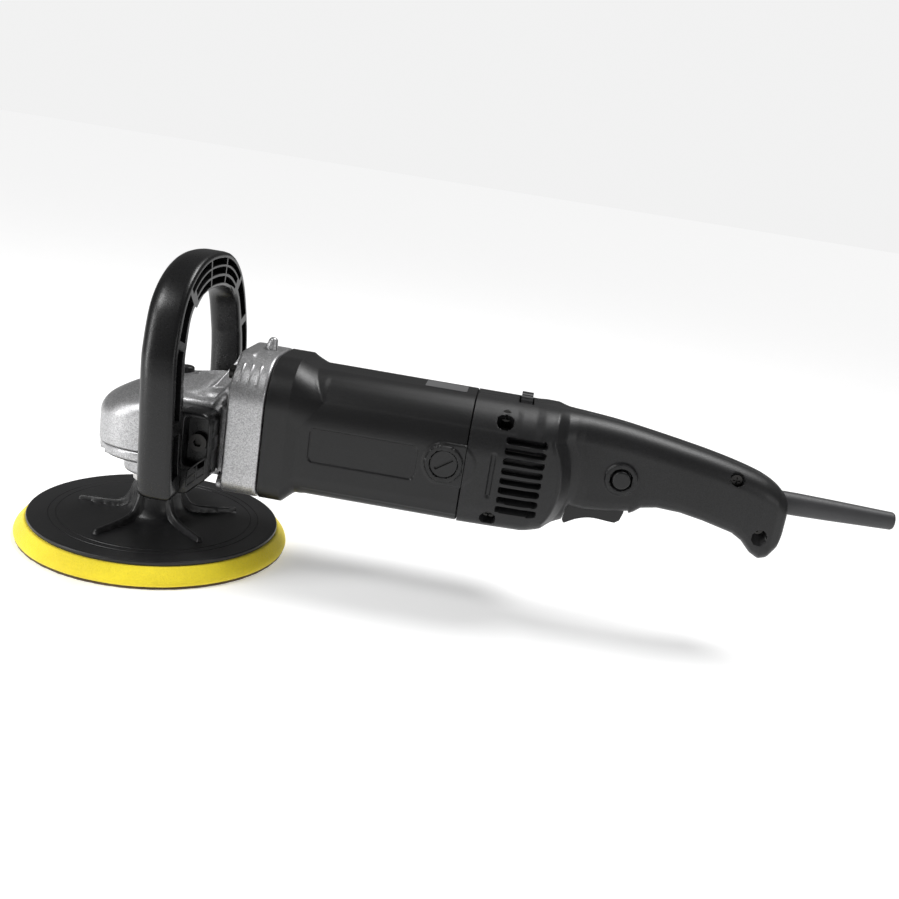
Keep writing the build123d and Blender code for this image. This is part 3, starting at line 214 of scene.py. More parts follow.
def smooth_interp(x, knots, values):
    """Cubic through (knots, values) with slopes that never overshoot, for numpy arrays of x."""
    knots, values = np.asarray(knots, float), np.asarray(values, float)
    step = np.diff(values) / np.diff(knots)
    slope = np.zeros_like(values)
    inner = step[:-1] * step[1:] > 0
    slope[1:-1][inner] = 2 * step[:-1][inner] * step[1:][inner] / (step[:-1][inner] + step[1:][inner])
    slope[0], slope[-1] = step[0], step[-1]
    x = np.clip(x, knots[0], knots[-1])
    i = np.clip(np.searchsorted(knots, x, side="right") - 1, 0, len(knots) - 2)
    h = knots[i + 1] - knots[i]
    t = (x - knots[i]) / h
    return ((2 * t ** 3 - 3 * t ** 2 + 1) * values[i] + (t ** 3 - 2 * t ** 2 + t) * h * slope[i]
            + (-2 * t ** 3 + 3 * t ** 2) * values[i + 1] + (t ** 3 - t ** 2) * h * slope[i + 1])


def smin(a, b, k):
    """The lower of two distances, blended over a width k, so that two solids join with a fillet."""
    h = np.clip(k - np.abs(a - b), 0, None) / k
    return np.minimum(a, b) - h * h * k / 4


def smax(a, b, k):
    """The higher of two distances, blended over a width k, so that a cut or a corner is rounded."""
    return -smin(-a, -b, k)


disc_nylon = surface("disc_nylon", (0.012, 0.012, 0.0125), 0.36, gloss=0.38, grain=(1400.0, 0.000025),
                     blotch=0.2, second=(160.0, 0.00006))
HUB_R = [10.5, 14.9, 15.1, 15.9, 17.6, 21.0, 26.0, 34.0, 82.5]
HUB_Z = [42.0, 41.2, 38.0, 29.5, 23.0, 18.6, 16.5, 15.75, 15.6]
FIN_R = [14, 16.8, 19.4, 24.0, 30.0, 40.0, 51.0, 55.2, 57.2]
FIN_Z = [42.0, 37.5, 29.5, 22.9, 20.6, 19.6, 19.0, 18.7, 12.0]
FIN_SIDE = [0, 0.8, 1.4, 1.8, 3.2, 8.0]
FIN_FALL = [0, 0.15, 0.6, 3.0, 14, 60]
FIN_ANGLES = [177, 249, 321, 393, 465]
RING_RADII = (64.0, 69.0)
around_rings = [63.2, 63.5, 63.75, 64.0, 64.25, 64.5, 65.0, 67.8, 68.3, 68.6, 68.85, 69.1, 69.35, 69.7]
flat = np.concatenate([[14.95, 15.0, 15.05], np.linspace(15.2, 20, 30), np.linspace(20.4, 30, 32),
                       np.linspace(30.6, 62.6, 60), around_rings, np.linspace(70.6, 80.0, 10)])
cols = 520
R, A = np.meshgrid(flat, np.linspace(0, 2 * math.pi, cols, endpoint=False), indexing="ij")
fin = np.full_like(R, -1e3)
for centre in np.radians(FIN_ANGLES):
    across = np.abs(R * np.sin(A - centre)) + np.where(np.cos(A - centre) < 0, 1e3, 0)
    crest = smooth_interp(R * np.cos(A - centre), FIN_R, FIN_Z)
    fin = np.maximum(fin, crest - smooth_interp(across, FIN_SIDE, FIN_FALL))
Z = smax(smooth_interp(R, HUB_R, HUB_Z), fin, 0.9)
for radius in RING_RADII:
    Z = Z - np.where(np.abs(R - radius) < 0.3, 0.3, 0.0)
top = np.stack([R * np.cos(A), R * np.sin(A), np.minimum(Z, 41.9)], axis=-1)
hub_cap = turned([(10.6, 42.0), (13.9, 42.0), (14.6, 41.9)], cols)
edge = rounded([(80.4, 15.6), (82.3, 15.6), (82.5, 12.7), (80.0, 12.62)], 1.5, 5) + [(10.6, 12.62)]
points = np.concatenate([hub_cap, top, turned(edge, cols)])
verts, faces = points.reshape(-1, 3), [grid_faces(len(points), cols, loop=True)]
put("pad_backing_disc", verts, faces, disc_nylon, "spindle_set", ["backing_disc"], sharp=50)

# ---- Spindle collar
# The steel spindle's collar clamps on the hub; it is turned bright, with two flats for a spanner, and the
# rubber washer above it turns with it. Both keep their CAD shape, so this section only mixes the bright
# steel.
bright_steel = surface("turned_steel", (0.62, 0.61, 0.60), 0.26, 1.0, grain=(600.0, 0.00001), blotch=0.08)

# ---- Bearing box and gear housing
# Both are aluminium die castings, blasted to a fine sparkling grain; the box carries the spindle bearing
# and is screwed up under the housing. The housing is a round chamber, a neck with shoulders for the loop
# handle's feet, and a square flange whose top edge runs down a gusset to the neck.


def box_distance(p, centre, half, radius):
    """Distance from points p to a box with rounded edges."""
    q = np.abs(p - np.array(centre)) - (np.array(half) - radius)
    return np.linalg.norm(np.maximum(q, 0), axis=-1) + np.minimum(q.max(axis=-1), 0) - radius


def section_distance(y, z, half_width, bottom, top, top_radius, bottom_radius):
    """Distance in a plane to an upright rectangle whose top and bottom corners have their own radii."""
    middle, half_height = (bottom + top) / 2, (top - bottom) / 2
    radius = np.where(z > middle, top_radius, bottom_radius)
    qy, qz = np.abs(y) - half_width + radius, np.abs(z - middle) - half_height + radius
    return np.hypot(np.maximum(qy, 0), np.maximum(qz, 0)) + np.minimum(np.maximum(qy, qz), 0) - radius


def rod_distance(p, a, b, radius):
    """Distance to a round-ended rod from a to b."""
    a, b = np.array(a, float), np.array(b, float)
    t = np.clip(((p - a) @ (b - a)) / ((b - a) @ (b - a)), 0, 1)
    return np.linalg.norm(p - a - t[..., None] * (b - a), axis=-1) - radius


def skin(field, spine, axis, tilt, angles, reach, keep=0.72, steps=70):
    """A grid laid on a solid that is known only by its distance field. From each spine point a fan of rays
    leaves at right angles to the axis, or leaning along it by tilt, and each is followed inwards from reach
    until the distance is nought; a step walks the share keep of the distance that is left."""
    axis = np.array(axis, float)
    side = np.array([1.0, 0.0, 0.0] if axis[2] > 0.99 else [0.0, 1.0, 0.0])
    up = np.cross(axis, side)
    fan = side * np.cos(angles)[:, None] + up * np.sin(angles)[:, None]
    tilt = np.asarray(tilt, float)[:, None, None]
    ray = fan * np.cos(tilt) + axis * np.sin(tilt)
    t = np.full((len(spine), len(angles)), float(reach))
    for _ in range(steps):
        p = spine[:, None, :] + ray * t[..., None]
        t = np.maximum(t - keep * field(p), 0.0)
    return spine[:, None, :] + ray * t[..., None]


cast = surface("blasted_aluminium", (0.42, 0.42, 0.425), 0.40, 0.85, grain=(1500.0, 0.00007), blotch=0.07,
               speck=0.30, rough_swing=0.2)


def box_field(p):
    """The turned bearing box with a notch over each of its four screws."""
    rho = np.hypot(p[..., 0], p[..., 1])
    underside = 61.2 - p[..., 2] + np.clip(rho - 31, 0, None) * 0.2
    plate = smax(rho - 38.8, smax(underside, p[..., 2] - 69.9, 0.8), 2.4)
    boss = smax(smax(rho - 23.0, 48.7 - p[..., 2], 1.6), p[..., 2] - 68.0, 1.0)
    solid = smin(plate, boss, 3.0)
    for degrees in (40, 140, 220, 320):
        a = math.radians(degrees)
        well = np.hypot(p[..., 0] - 34.6 * math.cos(a), p[..., 1] - 34.6 * math.sin(a)) - 5.4
        solid = smax(solid, -smax(well, p[..., 2] - 65.0, 0.8), 0.7)
    return solid


heights = np.concatenate([np.full(26, 50.0), np.linspace(50.3, 60.0, 14), np.linspace(60.6, 69.6, 44),
                          np.full(10, 69.6)])
leans = np.concatenate([np.linspace(-89, -2, 26), np.zeros(58), np.linspace(2, 89, 10)])
points = skin(box_field, np.stack([heights * 0, heights * 0, heights], axis=1), (0, 0, 1),
              np.radians(leans), np.linspace(0, 2 * math.pi, 420, endpoint=False), 60.0, steps=110)
verts, faces = close_ends(points)
put("bearing_box_casting", verts, faces, cast, "tool", ["bearing_box"])

ROOF_X = [-45, -39, -35, -29, -17, 0, 13, 20, 42, 60]
ROOF_Z = [88, 94, 97.5, 101.8, 108.3, 113.4, 116.4, 117.4, 121.0, 122.5]


def housing_field(p):
    """The gear housing: chamber, neck, foot shoulders, gusset, flange, ribs, then its pockets and wells."""
    x, y, z = p[..., 0], p[..., 1], p[..., 2]
    roof = smooth_interp(x, ROOF_X, ROOF_Z) - 0.010 * y * y
    drum = (np.abs(x) ** 2.5 + np.abs(y) ** 2.5) ** 0.4 - 37.7
    chamber = smax(smax(drum, (z - roof) * 0.9, 5.0), 70.05 - z, 1.0)
    neck_width = smooth_interp(x, [-10, 10, 45, 60], [24, 27.5, 29.0, 34.0])
    neck = smax(smax(np.abs(y) - neck_width, (z - roof) * 0.93, 5.0), 62.0 - z, 2.0)
    neck = smax(neck, np.maximum(-x, x - 70.0), 1.0)
    shoulder = box_distance(p, (35.0, 0.0, 85.0), (18.5, 34.6, 24.0), 4.5)
    rim = box_distance(p, (52.0, 0.0, 82.0), (1.9, 36.6, 26.5), 1.5)
    solid = smin(smin(chamber, neck, 7.0), smin(shoulder, rim, 2.6), 4.0)
    for side in (-1, 1):
        groove = rod_distance(p, (-8.0, side * 34.5, 112.5), (52.0, side * 37.0, 116.5), 4.2)
        solid = smax(solid, -groove, 1.6)
        sweep = np.minimum(rod_distance(p, (12.0, side * 31.5, 106.5), (44.0, side * 32.5, 108.0), 3.2),
                           rod_distance(p, (44.0, side * 32.5, 108.0), (55.0, side * 36.0, 121.0), 3.2))
        solid = smin(solid, sweep, 3.0)
    slope = (z - 121.5) * 0.573 - (x - 42.0) * 0.819
    gusset = smax(smax(np.abs(y) - 21.0, slope, 1.2), np.maximum(36.0 - x, x - 62.0), 0.6)
    gusset = smax(gusset, np.maximum(100.0 - z, z - 141.0), 1.0)
    solid = smin(solid, gusset, 2.2)
    outline = section_distance(y, z, 41.9, 52.5, 142.5, 30.0, 12.0)
    flange = smax(outline, np.maximum(54.6 - x, x - 77.7), 2.0)
    solid = smin(solid, flange, 3.2)
    for x0 in (60.0, 65.5, 71.0):
        rib = np.maximum(np.maximum(np.abs(x - x0) - 0.35, outline - 0.55), np.abs(z - 131.5) - 5.5)
        solid = smin(solid, rib, 0.6)
    solid = smin(solid, rod_distance(p, (65.5, 0, 138.0), (69.0, 0, 147.6), 3.1), 1.6)
    for sy, sz in ((29.5, 130.5), (31.5, 63.5)):
        well = smax(np.hypot(np.abs(y) - sy, z - sz) - 5.6, x - 55.0, 0.5)
        solid = smax(solid, -well, 0.8)
    plate = box_distance(p, (31.5, 0, 119.6), (11.5, 6.4, 3.0), 1.0)
    solid = smax(solid, -plate, 0.5)
    return solid


nose = 46
back_face = 77.6
spine_x = np.concatenate([np.full(nose, -6.0), np.linspace(-5.4, 34.0, 62), np.linspace(34.4, 80.0, 100)])
spine_x = np.append(spine_x[spine_x < back_face], back_face)
leans = np.concatenate([np.linspace(-89, -1, nose), np.zeros(len(spine_x) - nose)])
spine = np.stack([spine_x, spine_x * 0, np.interp(spine_x, [-6, 30, 60], [88, 92, 97])], axis=1)
points = skin(housing_field, spine, (1, 0, 0), np.radians(leans),
              np.linspace(0, 2 * math.pi, 460, endpoint=False), 75.0)
verts, faces = close_ends(points)
put("gear_housing_casting", verts, faces, cast, "tool", ["gear_housing"], sharp=60)

# ---- Loop handle
# A satin black nylon moulding that bridges the head: a thick D-shaped bow, smooth in front, cored out
# behind with long slots down each leg and three rows of cells across the top. Each leg's foot is bolted to
# a shoulder.
loop_nylon = surface("loop_nylon", (0.0045, 0.0045, 0.0048), 0.30, gloss=0.38, grain=(1100.0, 0.00002),
                     blotch=0.25, second=(140.0, 0.00008))


half_arch = [(70.8, 57.5), (73.0, 70), (74.0, 88), (74.2, 108), (73.9, 127), (72.6, 140), (69.8, 150),
             (66.0, 160.4), (61.0, 170.6), (53.4, 180.2), (43.6, 188.1), (32.4, 193.9), (20.0, 197.4),
             (9.0, 198.7), (0.0, 198.95)]
arch = np.array(half_arch + [(-y, z) for y, z in half_arch[-2::-1]])
walked = np.concatenate([[0], np.cumsum(np.linalg.norm(np.diff(arch, axis=0), axis=1))])
total = walked[-1]


def walked_at(z):
    """How far along the arch its right leg passes height z."""
    return float(np.interp(z, [p[1] for p in half_arch], walked[: len(half_arch)]))


# Slots and cells are (start, end) distances along the arch; rows run from the outer edge inwards.
top_start = total / 2 - 54.0
leg_slots = [(walked_at(64.5), walked_at(94)), (walked_at(102), walked_at(148)),
             (walked_at(153), top_start - 4)]
middle_cells = [(total / 2 - 15.0, total / 2 + 15.0)]
top_cells = [(top_start, total / 2 - 17.0)] + middle_cells
inner_cells = [(top_start + 5, total / 2 - 17.0)] + middle_cells
slot_rows = [leg_slots + top_cells, inner_cells, inner_cells]
slot_ends = sorted({e for row in slot_rows for a, b in row for e in (a, b, total - a, total - b)})
close_by = [[e - 0.5, e - 0.02, e + 0.02, e + 0.5] for e in slot_ends]
s = np.unique(np.concatenate([np.linspace(0, total, 300)] + close_by))
s = s[(s >= 0) & (s <= total)]
place = np.stack([smooth_interp(s, walked, arch[:, k]) for k in (0, 1)], axis=1)
tangent = np.gradient(place, s, axis=0)
tangent = tangent / np.linalg.norm(tangent, axis=1, keepdims=True)
inward = np.stack([-tangent[:, 1], tangent[:, 0]], axis=1)
fold = np.minimum(s, total - s)
width = smooth_interp(fold, [0, 30, 70, 95, 118, 135, 160, 180],
                      [18.6, 21.0, 20.4, 19.6, 18.4, 19.6, 22.4, 22.8])
lean = -4.0 * smooth_interp(place[:, 1], [57, 90, 120, 150, 180, 199], [0, 0.12, 0.38, 0.75, 0.97, 1.0])


def dip(row):
    """1 where a station lies in one of the row's slots, 0 elsewhere."""
    inside = np.zeros(len(s))
    for a, b in slot_rows[row]:
        inside[(fold > a) & (fold < b)] = 1.0
    return inside


leg_to_top = np.clip((fold - top_start + 3.5) / 3, 0, 1)
front, back = 10.55, 33.45
# Each column is one corner of the section: its depth from the front and its distance in from the outer edge.
t = np.linspace(0, math.pi, 40)
front_across = 0.5 - 0.5 * np.sign(np.cos(t)) * np.abs(np.cos(t)) ** 0.76
front_depth = front + 11.5 * (1 - np.sin(t) ** 0.84)
columns = [(depth, across * width) for depth, across in zip(front_depth, front_across)]
columns += [(back - 3.2, width), (back - 1.4, width - 0.4), (back - 0.45, width - 1.2), (back, width - 2.2)]
row_on_top = [(3.7, 8.0), (9.5, 13.8), (15.6, 19.8)]
row_on_leg = [(4.4, 13.6), (14.6, 15.2), (15.6, 16.2)]
for row in (2, 1, 0):
    low, high = (a + (b - a) * leg_to_top for a, b in zip(row_on_leg[row], row_on_top[row]))
    lip, bed = back - 0.2 * dip(row), back - 8.0 * dip(row)
    columns += [(back, high + 0.2), (lip, high), (bed, high - 0.1)]
    columns += [(bed, low + 0.1), (lip, low), (back, low - 0.2)]
columns += [(back, 2.2), (back - 0.45, 1.0), (back - 1.4, 0.3), (back - 3.2, 0.0)]
depth, across = (np.stack([np.broadcast_to(c[k], s.shape) for c in columns], axis=1) for k in (0, 1))
points = np.stack([depth + lean[:, None], place[:, None, 0] + inward[:, None, 0] * across,
                   place[:, None, 1] + inward[:, None, 1] * across], axis=-1)
t = np.array([0.9, 0.72, 0.5, 0.25, 0.0])[:, None, None]
middle = points[0].mean(axis=0)
toe = middle + (points[0] - middle) * (0.65 + 0.35 * np.cos(math.pi / 2 * t))
toe[..., 2] = 57.5 - 5.0 * np.sin(math.pi / 2 * np.minimum(1.0, t[..., 0] + 0.1))
points = np.concatenate([toe, points, toe[::-1] * np.array([1, -1, 1])])
verts, faces = close_ends(points)
put("loop_handle_bow", verts, faces, loop_nylon, "tool", ["loop_handle"], sharp=42)


def outline_ring(corners, angles, centre, radius):
    """Where rays from a centre cross a convex outline with rounded corners, one point for each angle."""
    start = (np.array(corners[-1]) + np.array(corners[0])) / 2
    line = np.array(rounded([start, *corners, start], radius, 8))
    part = np.linspace(0, len(line) - 1, 40 * len(line))
    line = np.stack([np.interp(part, np.arange(len(line)), line[:, k]) for k in (0, 1)], axis=1)
    a = np.arctan2(line[:, 1] - centre[1], line[:, 0] - centre[0])
    r = np.hypot(line[:, 0] - centre[0], line[:, 1] - centre[1])
    order = np.argsort(a)
    a, r = a[order], r[order]
    a, r = np.concatenate([a - 2 * math.pi, a, a + 2 * math.pi]), np.tile(r, 3)
    wrapped = (angles + math.pi) % (2 * math.pi) - math.pi
    reach = np.interp(wrapped, a, r)
    return np.stack([centre[0] + reach * np.cos(angles), centre[1] + reach * np.sin(angles)], axis=1)


foot = [(14, 57.5), (36, 52.6), (49.9, 66), (49.9, 102), (45.5, 106.8), (14, 107.8)]
window = [(33.2, 72.6), (48.0, 72.6), (48.0, 103.6), (33.2, 103.6)]
eye = np.array([41.0, 87.0])
towards_corners = [math.atan2(z - eye[1], x - eye[0]) % (2 * math.pi) for x, z in window + foot]
angles = np.sort(np.append(np.linspace(0, 2 * math.pi, 220, endpoint=False), towards_corners))
outer, hole = (outline_ring(c, angles, eye, r) for c, r in ((foot, 3.8), (window, 3.4)))


def pulled(ring, amount):
    """A ring drawn in towards the window's centre by a length."""
    away = ring - eye
    length = np.linalg.norm(away, axis=1, keepdims=True)
    return eye + away * (1 - amount / length)


slant = np.array([14.0, 13.4]) / math.hypot(14.0, 13.4)
corner = np.array([37.6, 59.0])
bars = [(corner + np.array([0.0, k]), slant, 14.6) for k in (0.0, 5.3, 10.6)]
bars += [(corner + np.array([k, 0.957 * k]), np.array([0.0, 1.0]), 10.6) for k in (0.0, 5.3, 10.6)]
thin = np.array([0.3, 0.6, 0.6, 0.3])[:, None]
turn = np.linspace(0, 2 * math.pi, 16, endpoint=False)
wave_x, wave_y = (np.abs(w) ** 0.5 * np.sign(w) for w in (np.cos(turn), np.sin(turn)))
for side, word in ((-1, "near"), (1, "far")):
    rings = [(pulled(outer, 0.8), 35.4), (outer, 36.2), (outer, 52.2), (pulled(outer, 0.35), 53.2),
             (pulled(outer, 1.3), 53.9), (pulled(hole, -1.2), 54.0), (pulled(hole, -0.5), 53.8), (hole, 53.0),
             (hole, 46.2), (pulled(hole, 0.6), 45.5)]
    grid = np.array([np.stack([r[:, 0], np.full(len(r), side * y), r[:, 1]], axis=1) for r, y in rings])
    verts, faces = close_ends(grid)
    put("loop_handle_foot_" + word, verts, faces, loop_nylon, "tool", ["loop_handle"],
        sharp=42)
    for count, (start, way, length) in enumerate(bars):
        beam = start + way * np.array([-0.5, 0, length, length + 0.5])[:, None]
        ring = np.stack([beam[:, :1] - way[1] * thin * wave_x, side * (53.95 + thin * 0.7 * wave_y),
                         beam[:, 1:] + way[0] * thin * wave_x], axis=-1)
        verts, faces = close_ends(ring)
        put("loop_foot_cell_rib_%s_%d" % (word, count), verts, faces, loop_nylon, "tool",
            ["loop_handle"])

# ---- Motor housing
# The motor's barrel is one glass-filled nylon moulding: a square collar screwed to the flange, a chamfer
# down to a rounded barrel with a raised spine, a sunk panel on each side, and a round boss for each carbon
# brush.
motor_nylon = surface("motor_nylon", (0.0055, 0.0055, 0.0058), 0.38, gloss=0.38, grain=(1500.0, 0.00004),
                      blotch=0.2, speck=0.18, second=(200.0, 0.00005))
BARREL_X = [78, 93, 99.5, 101, 205.5]


def motor_field(p):
    """The collar, its chamfer and the barrel as one upright rounded section, with ledge, panel and pads."""
    x, y, z = p[..., 0], p[..., 1], p[..., 2]
    hip = 7.5 + 12.5 * np.clip(1 - np.abs(z - 123) / 18, 0, 1)
    true_x, x = x, np.where(x > 93, 93 + np.minimum((x - 93) * 7.5 / hip, x - 93), x)
    x = np.where(true_x > 93 + hip, true_x, x)
    half = np.interp(x, BARREL_X, [41.9, 41.9, 41.1, 41.0, 41.0])
    low = np.interp(x, BARREL_X, [52.6, 52.6, 58.0, 58.6, 58.8])
    high = np.interp(x, BARREL_X, [142.5, 142.5, 138.6, 138.0, 137.9])
    top_r = np.interp(x, BARREL_X, [30, 30, 31.5, 32, 32])
    low_r = np.interp(x, BARREL_X, [12, 12, 15, 16, 16])
    solid = section_distance(y, z, half, low, high, top_r, low_r)
    x = true_x
    ledge = np.clip((z - 122.6) / 0.8, 0, 1) * np.clip((x - 111) / 3, 0, 1) * np.clip((136.5 - z) / 3, 0, 1)
    solid = solid + 0.3 * ledge
    lower_ledge = np.clip((66.5 - z) / 0.8, 0, 1) * np.clip((x - 104) / 3, 0, 1)
    solid = solid + 0.45 * lower_ledge
    solid = smax(solid, np.maximum(78.3 - x, x - 205.3), 0.9)
    ax = np.abs(y)
    corner = np.hypot(np.maximum(np.abs(x - 142) - 30, 0), np.maximum(np.abs(z - 95.5) - 7.0, 0)) - 4.0
    sunk = smax(corner, 40.2 - ax, 0.3)
    solid = smax(solid, -sunk, 0.5)
    pad = smax(np.hypot(np.minimum(x - 192.8, 0), z - 98.4) - 13.5, np.abs(ax - 35) - 6.55, 0.6)
    solid = smin(solid, smax(pad, x - 205.3, 0.3), 0.8)
    ring = smax(np.abs(np.hypot(x - 192.8, z - 98.4) - 10.15) - 1.65, ax - 42.7, 0.5)
    well = smax(np.hypot(x - 192.8, z - 98.4) - 8.5, 37.0 - ax, 0.3)
    solid = smin(solid, smax(ring, 36 - ax, 0.3), 0.4)
    return smax(solid, -well, 0.3)


def near_lines(low, high, count, edges, gap=0.12):
    """Evenly spaced values with a close pair straddling each edge, so that it stays crisp on the grid."""
    extra = [v for e in edges for v in (e - gap, e + gap)]
    return np.unique(np.clip(np.concatenate([np.linspace(low, high, count), extra]), low, high))


def side_angle(z, half=41.0, centre=98.4):
    """The fan angle that meets the side wall at height z, and its mirror on the other side."""
    a = math.atan2(z - centre, half)
    return [a % (2 * math.pi), (math.pi - a) % (2 * math.pi)]


edges = [a for z in (84.5, 106.5, 122.6, 123.4, 66.0) for a in side_angle(z)]
angles = near_lines(0, 2 * math.pi, 330, edges, 0.006)[:-1]
spine_x = near_lines(78.3, 205.3, 190, [93, 99.5, 101, 108, 176], 0.15)
spine_x = np.concatenate([np.full(6, 78.3), spine_x, np.full(6, 205.3)])
leans = np.concatenate([np.linspace(-88, -6, 6), np.zeros(len(spine_x) - 12), np.linspace(6, 88, 6)])
spine = np.stack([spine_x, spine_x * 0, spine_x * 0 + 98.4], axis=1)
points = skin(motor_field, spine, (1, 0, 0), np.radians(leans), angles, 62.0, steps=60)
verts, faces = close_ends(points)
put("motor_housing_barrel", verts, faces, motor_nylon, "tool", ["motor_housing"], sharp=34)

# ---- Rear handle
# Two nylon halves screwed together behind the motor: a vented collar that carries on the barrel, two soft
# ridges where it draws in, then a slim grip with the trigger under it and a hooked tail where the cord
# comes out.
handle_nylon = surface("handle_nylon", (0.0085, 0.0085, 0.009), 0.42, gloss=0.38, grain=(1600.0, 0.00006),
                       blotch=0.2, speck=0.35, second=(220.0, 0.00005))
HANDLE_X = [205.5, 228, 246, 254, 259.5, 263, 265.9, 266.4, 269.4, 272.4, 274.6, 278, 284, 300, 312.6, 320,
            340, 360, 380, 394, 404, 412]
HANDLE_HALF = [41.0, 41.0, 40.6, 39.6, 37.8, 36.6, 35.8, 34.9, 29.8, 25.4, 24.0, 22.0, 20.4, 19.0, 18.6, 18.5,
               18.5, 18.3, 18.0, 17.6, 16.4, 12.6]
TOP_X = [205.5, 246, 268, 284, 300, 320, 340, 360, 380, 394, 404, 412]
TOP_Z = [137.9, 137.9, 137.0, 136.0, 134.5, 131.6, 128.3, 124.7, 120.2, 116.0, 111.0, 104]
LOW_X = [205.5, 246, 256, 262, 268, 271.4, 272.6, 274.2, 284, 300, 308, 312.6, 313.5, 316, 320, 330, 345,
         360, 380, 387, 394, 400, 405, 410, 412]
LOW_Z = [58.8, 59.6, 61.6, 64.0, 66.4, 67.6, 74.0, 77.6, 76.6, 77.6, 79.0, 80.0, 78.6, 80.0, 83.4, 85.4, 84.8,
         82.2, 77.4, 73.4, 66.4, 63.2, 64.6, 70.6, 78.0]
VENTS = (75.5, 81.7, 88.0, 94.2, 100.4, 106.6, 112.9, 119.1)
WELLS = (((226, -43.0, 139.5), (226, -25.0, 123.0), 5.2), ((225, -44.0, 64.0), (225, -30.0, 74.0), 4.7),
         ((375, -20.0, 117.0), (375, -10.8, 110.0), 4.3), ((396.5, -20.0, 77.5), (396, -10.8, 83.0), 4.3))


def handle_field(p):
    """Upright rounded sections whose width follows a bowed station, then vents, wells, ridge and seam."""
    x, y, z = p[..., 0], p[..., 1], p[..., 2]
    bow = 5.4 * np.clip((z - 94) / 23, -1.15, 1.15) ** 2
    bow = bow * smooth_interp(x, [238, 244, 258, 278, 300, 306], [0, 0.1, 1, 1, 0.1, 0])
    half = np.interp(x + bow, HANDLE_X, HANDLE_HALF)
    high, low = smooth_interp(x, TOP_X, TOP_Z), np.interp(x, LOW_X, LOW_Z)
    top_r = np.minimum(smooth_interp(x + bow, [246, 268, 284, 404], [32, 22, 16, 13]), half - 1.0)
    low_r = np.minimum(smooth_interp(x + bow, [246, 263, 271, 284, 404], [16, 13, 10.5, 8, 8]), half - 1.0)
    solid = section_distance(y, z, half, low, high, top_r, low_r)
    ledge = np.clip((z - 122.6) / 0.8, 0, 1) * np.clip((236 - x) / 3, 0, 1) * np.clip((136.5 - z) / 3, 0, 1)
    solid = solid + 0.3 * ledge
    solid = np.maximum(solid, 205.7 - x)
    solid = smax(solid, x - 411.6, 3.0)
    tongue = np.hypot(np.maximum(x - 199.0, 0), z - 98.4) - 13.5
    solid = smin(solid, smax(tongue, np.abs(np.abs(y) - 35) - 6.5, 0.4), 0.5)
    ridge = np.abs(x + bow - 265.9) - 0.9
    solid = solid - 0.35 * np.clip(1 - np.abs(ridge), 0, 1) * (np.abs(z - 95) < 27)
    ay = np.abs(y)
    for height in VENTS:
        depth = section_distance(y, z, half - 6.5, low + 6.5, high - 6.5, np.maximum(top_r - 6.5, 1),
                                 np.maximum(low_r - 6.5, 1))
        slot = np.hypot(np.maximum(np.abs(x - 241.2) - 10.8, 0), (z - height)) - 2.0
        slot = smax(slot, np.maximum(-depth, 26 - ay), 0.2)
        solid = smax(solid, -slot, 0.25)
    notch = smax(np.hypot(x - 222.2, np.maximum(np.abs(z - 96) - 13, 0)) - 1.3, 40.0 - ay, 0.2)
    solid = smax(solid, -notch, 0.4)
    for mouth, bottom, radius in WELLS:
        solid = smax(solid, -rod_distance(p, mouth, bottom, radius), 0.6)
    boss = smax(np.hypot(x - 303.6, z - 102) - 10.2, np.maximum(-y - 20.9, y), 0.8)
    solid = smin(solid, boss, 1.4)
    solid = smax(solid, -smax(np.hypot(x - 303.6, z - 102) - 6.9, y + 16.0, 0.2), 0.5)
    dial = smax(np.maximum(np.abs(x - 237.0) - 4.1, 126.0 - z), ay - 9.7, 0.3)
    solid = smax(solid, -dial, 0.6)
    return solid + 0.35 * np.clip(1 - ay / 0.35, 0, 1)


lips = [height + half for height in VENTS for half in (-2.0, 2.0)]
edges = [a for z in lips for a in side_angle(z, 40.2 if z < 108 else 38.5)]
edges += [math.pi / 2, 3 * math.pi / 2]  # the seam between the halves, above and below
angles = near_lines(0, 2 * math.pi, 300, edges, 0.005)[:-1]
stations = near_lines(205.7, 403, 225, [228.4, 230, 252.4, 254, 265.9, 271.4, 273.0, 312.6, 313.5], 0.12)
tail = 34
spine_x = np.concatenate([stations, np.full(tail, 403.0)])
leans = np.concatenate([np.zeros(len(stations)), np.linspace(2, 89, tail)])
spine_z = smooth_interp(spine_x, [205, 262, 284, 312, 340, 380, 404], [98.4, 98.4, 110, 110, 107, 99, 92])
spine = np.stack([spine_x, spine_x * 0, spine_z], axis=1)
points = skin(handle_field, spine, (1, 0, 0), np.radians(leans), angles, 62.0, steps=80)
verts, faces = close_ends(points)
put("rear_handle_shell", verts, faces, handle_nylon, "tool",
    ["handle_left", "handle_right"], sharp=34)

# ---- Metal parts inside and outside
# Shafts, bearings, pins and washers are turned steel; screws are blackened steel, kept near black partly as
# painted shade for the deep wells they sit in; gears are hardened and ground. They keep the CAD part's shape,
# and each takes a steel finish.


def finish(material, *nodes):
    """The CAD parts named take this material in place of their plain one."""
    for node in nodes:
        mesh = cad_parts[node].data
        mesh.materials.clear()
        mesh.materials.append(material)


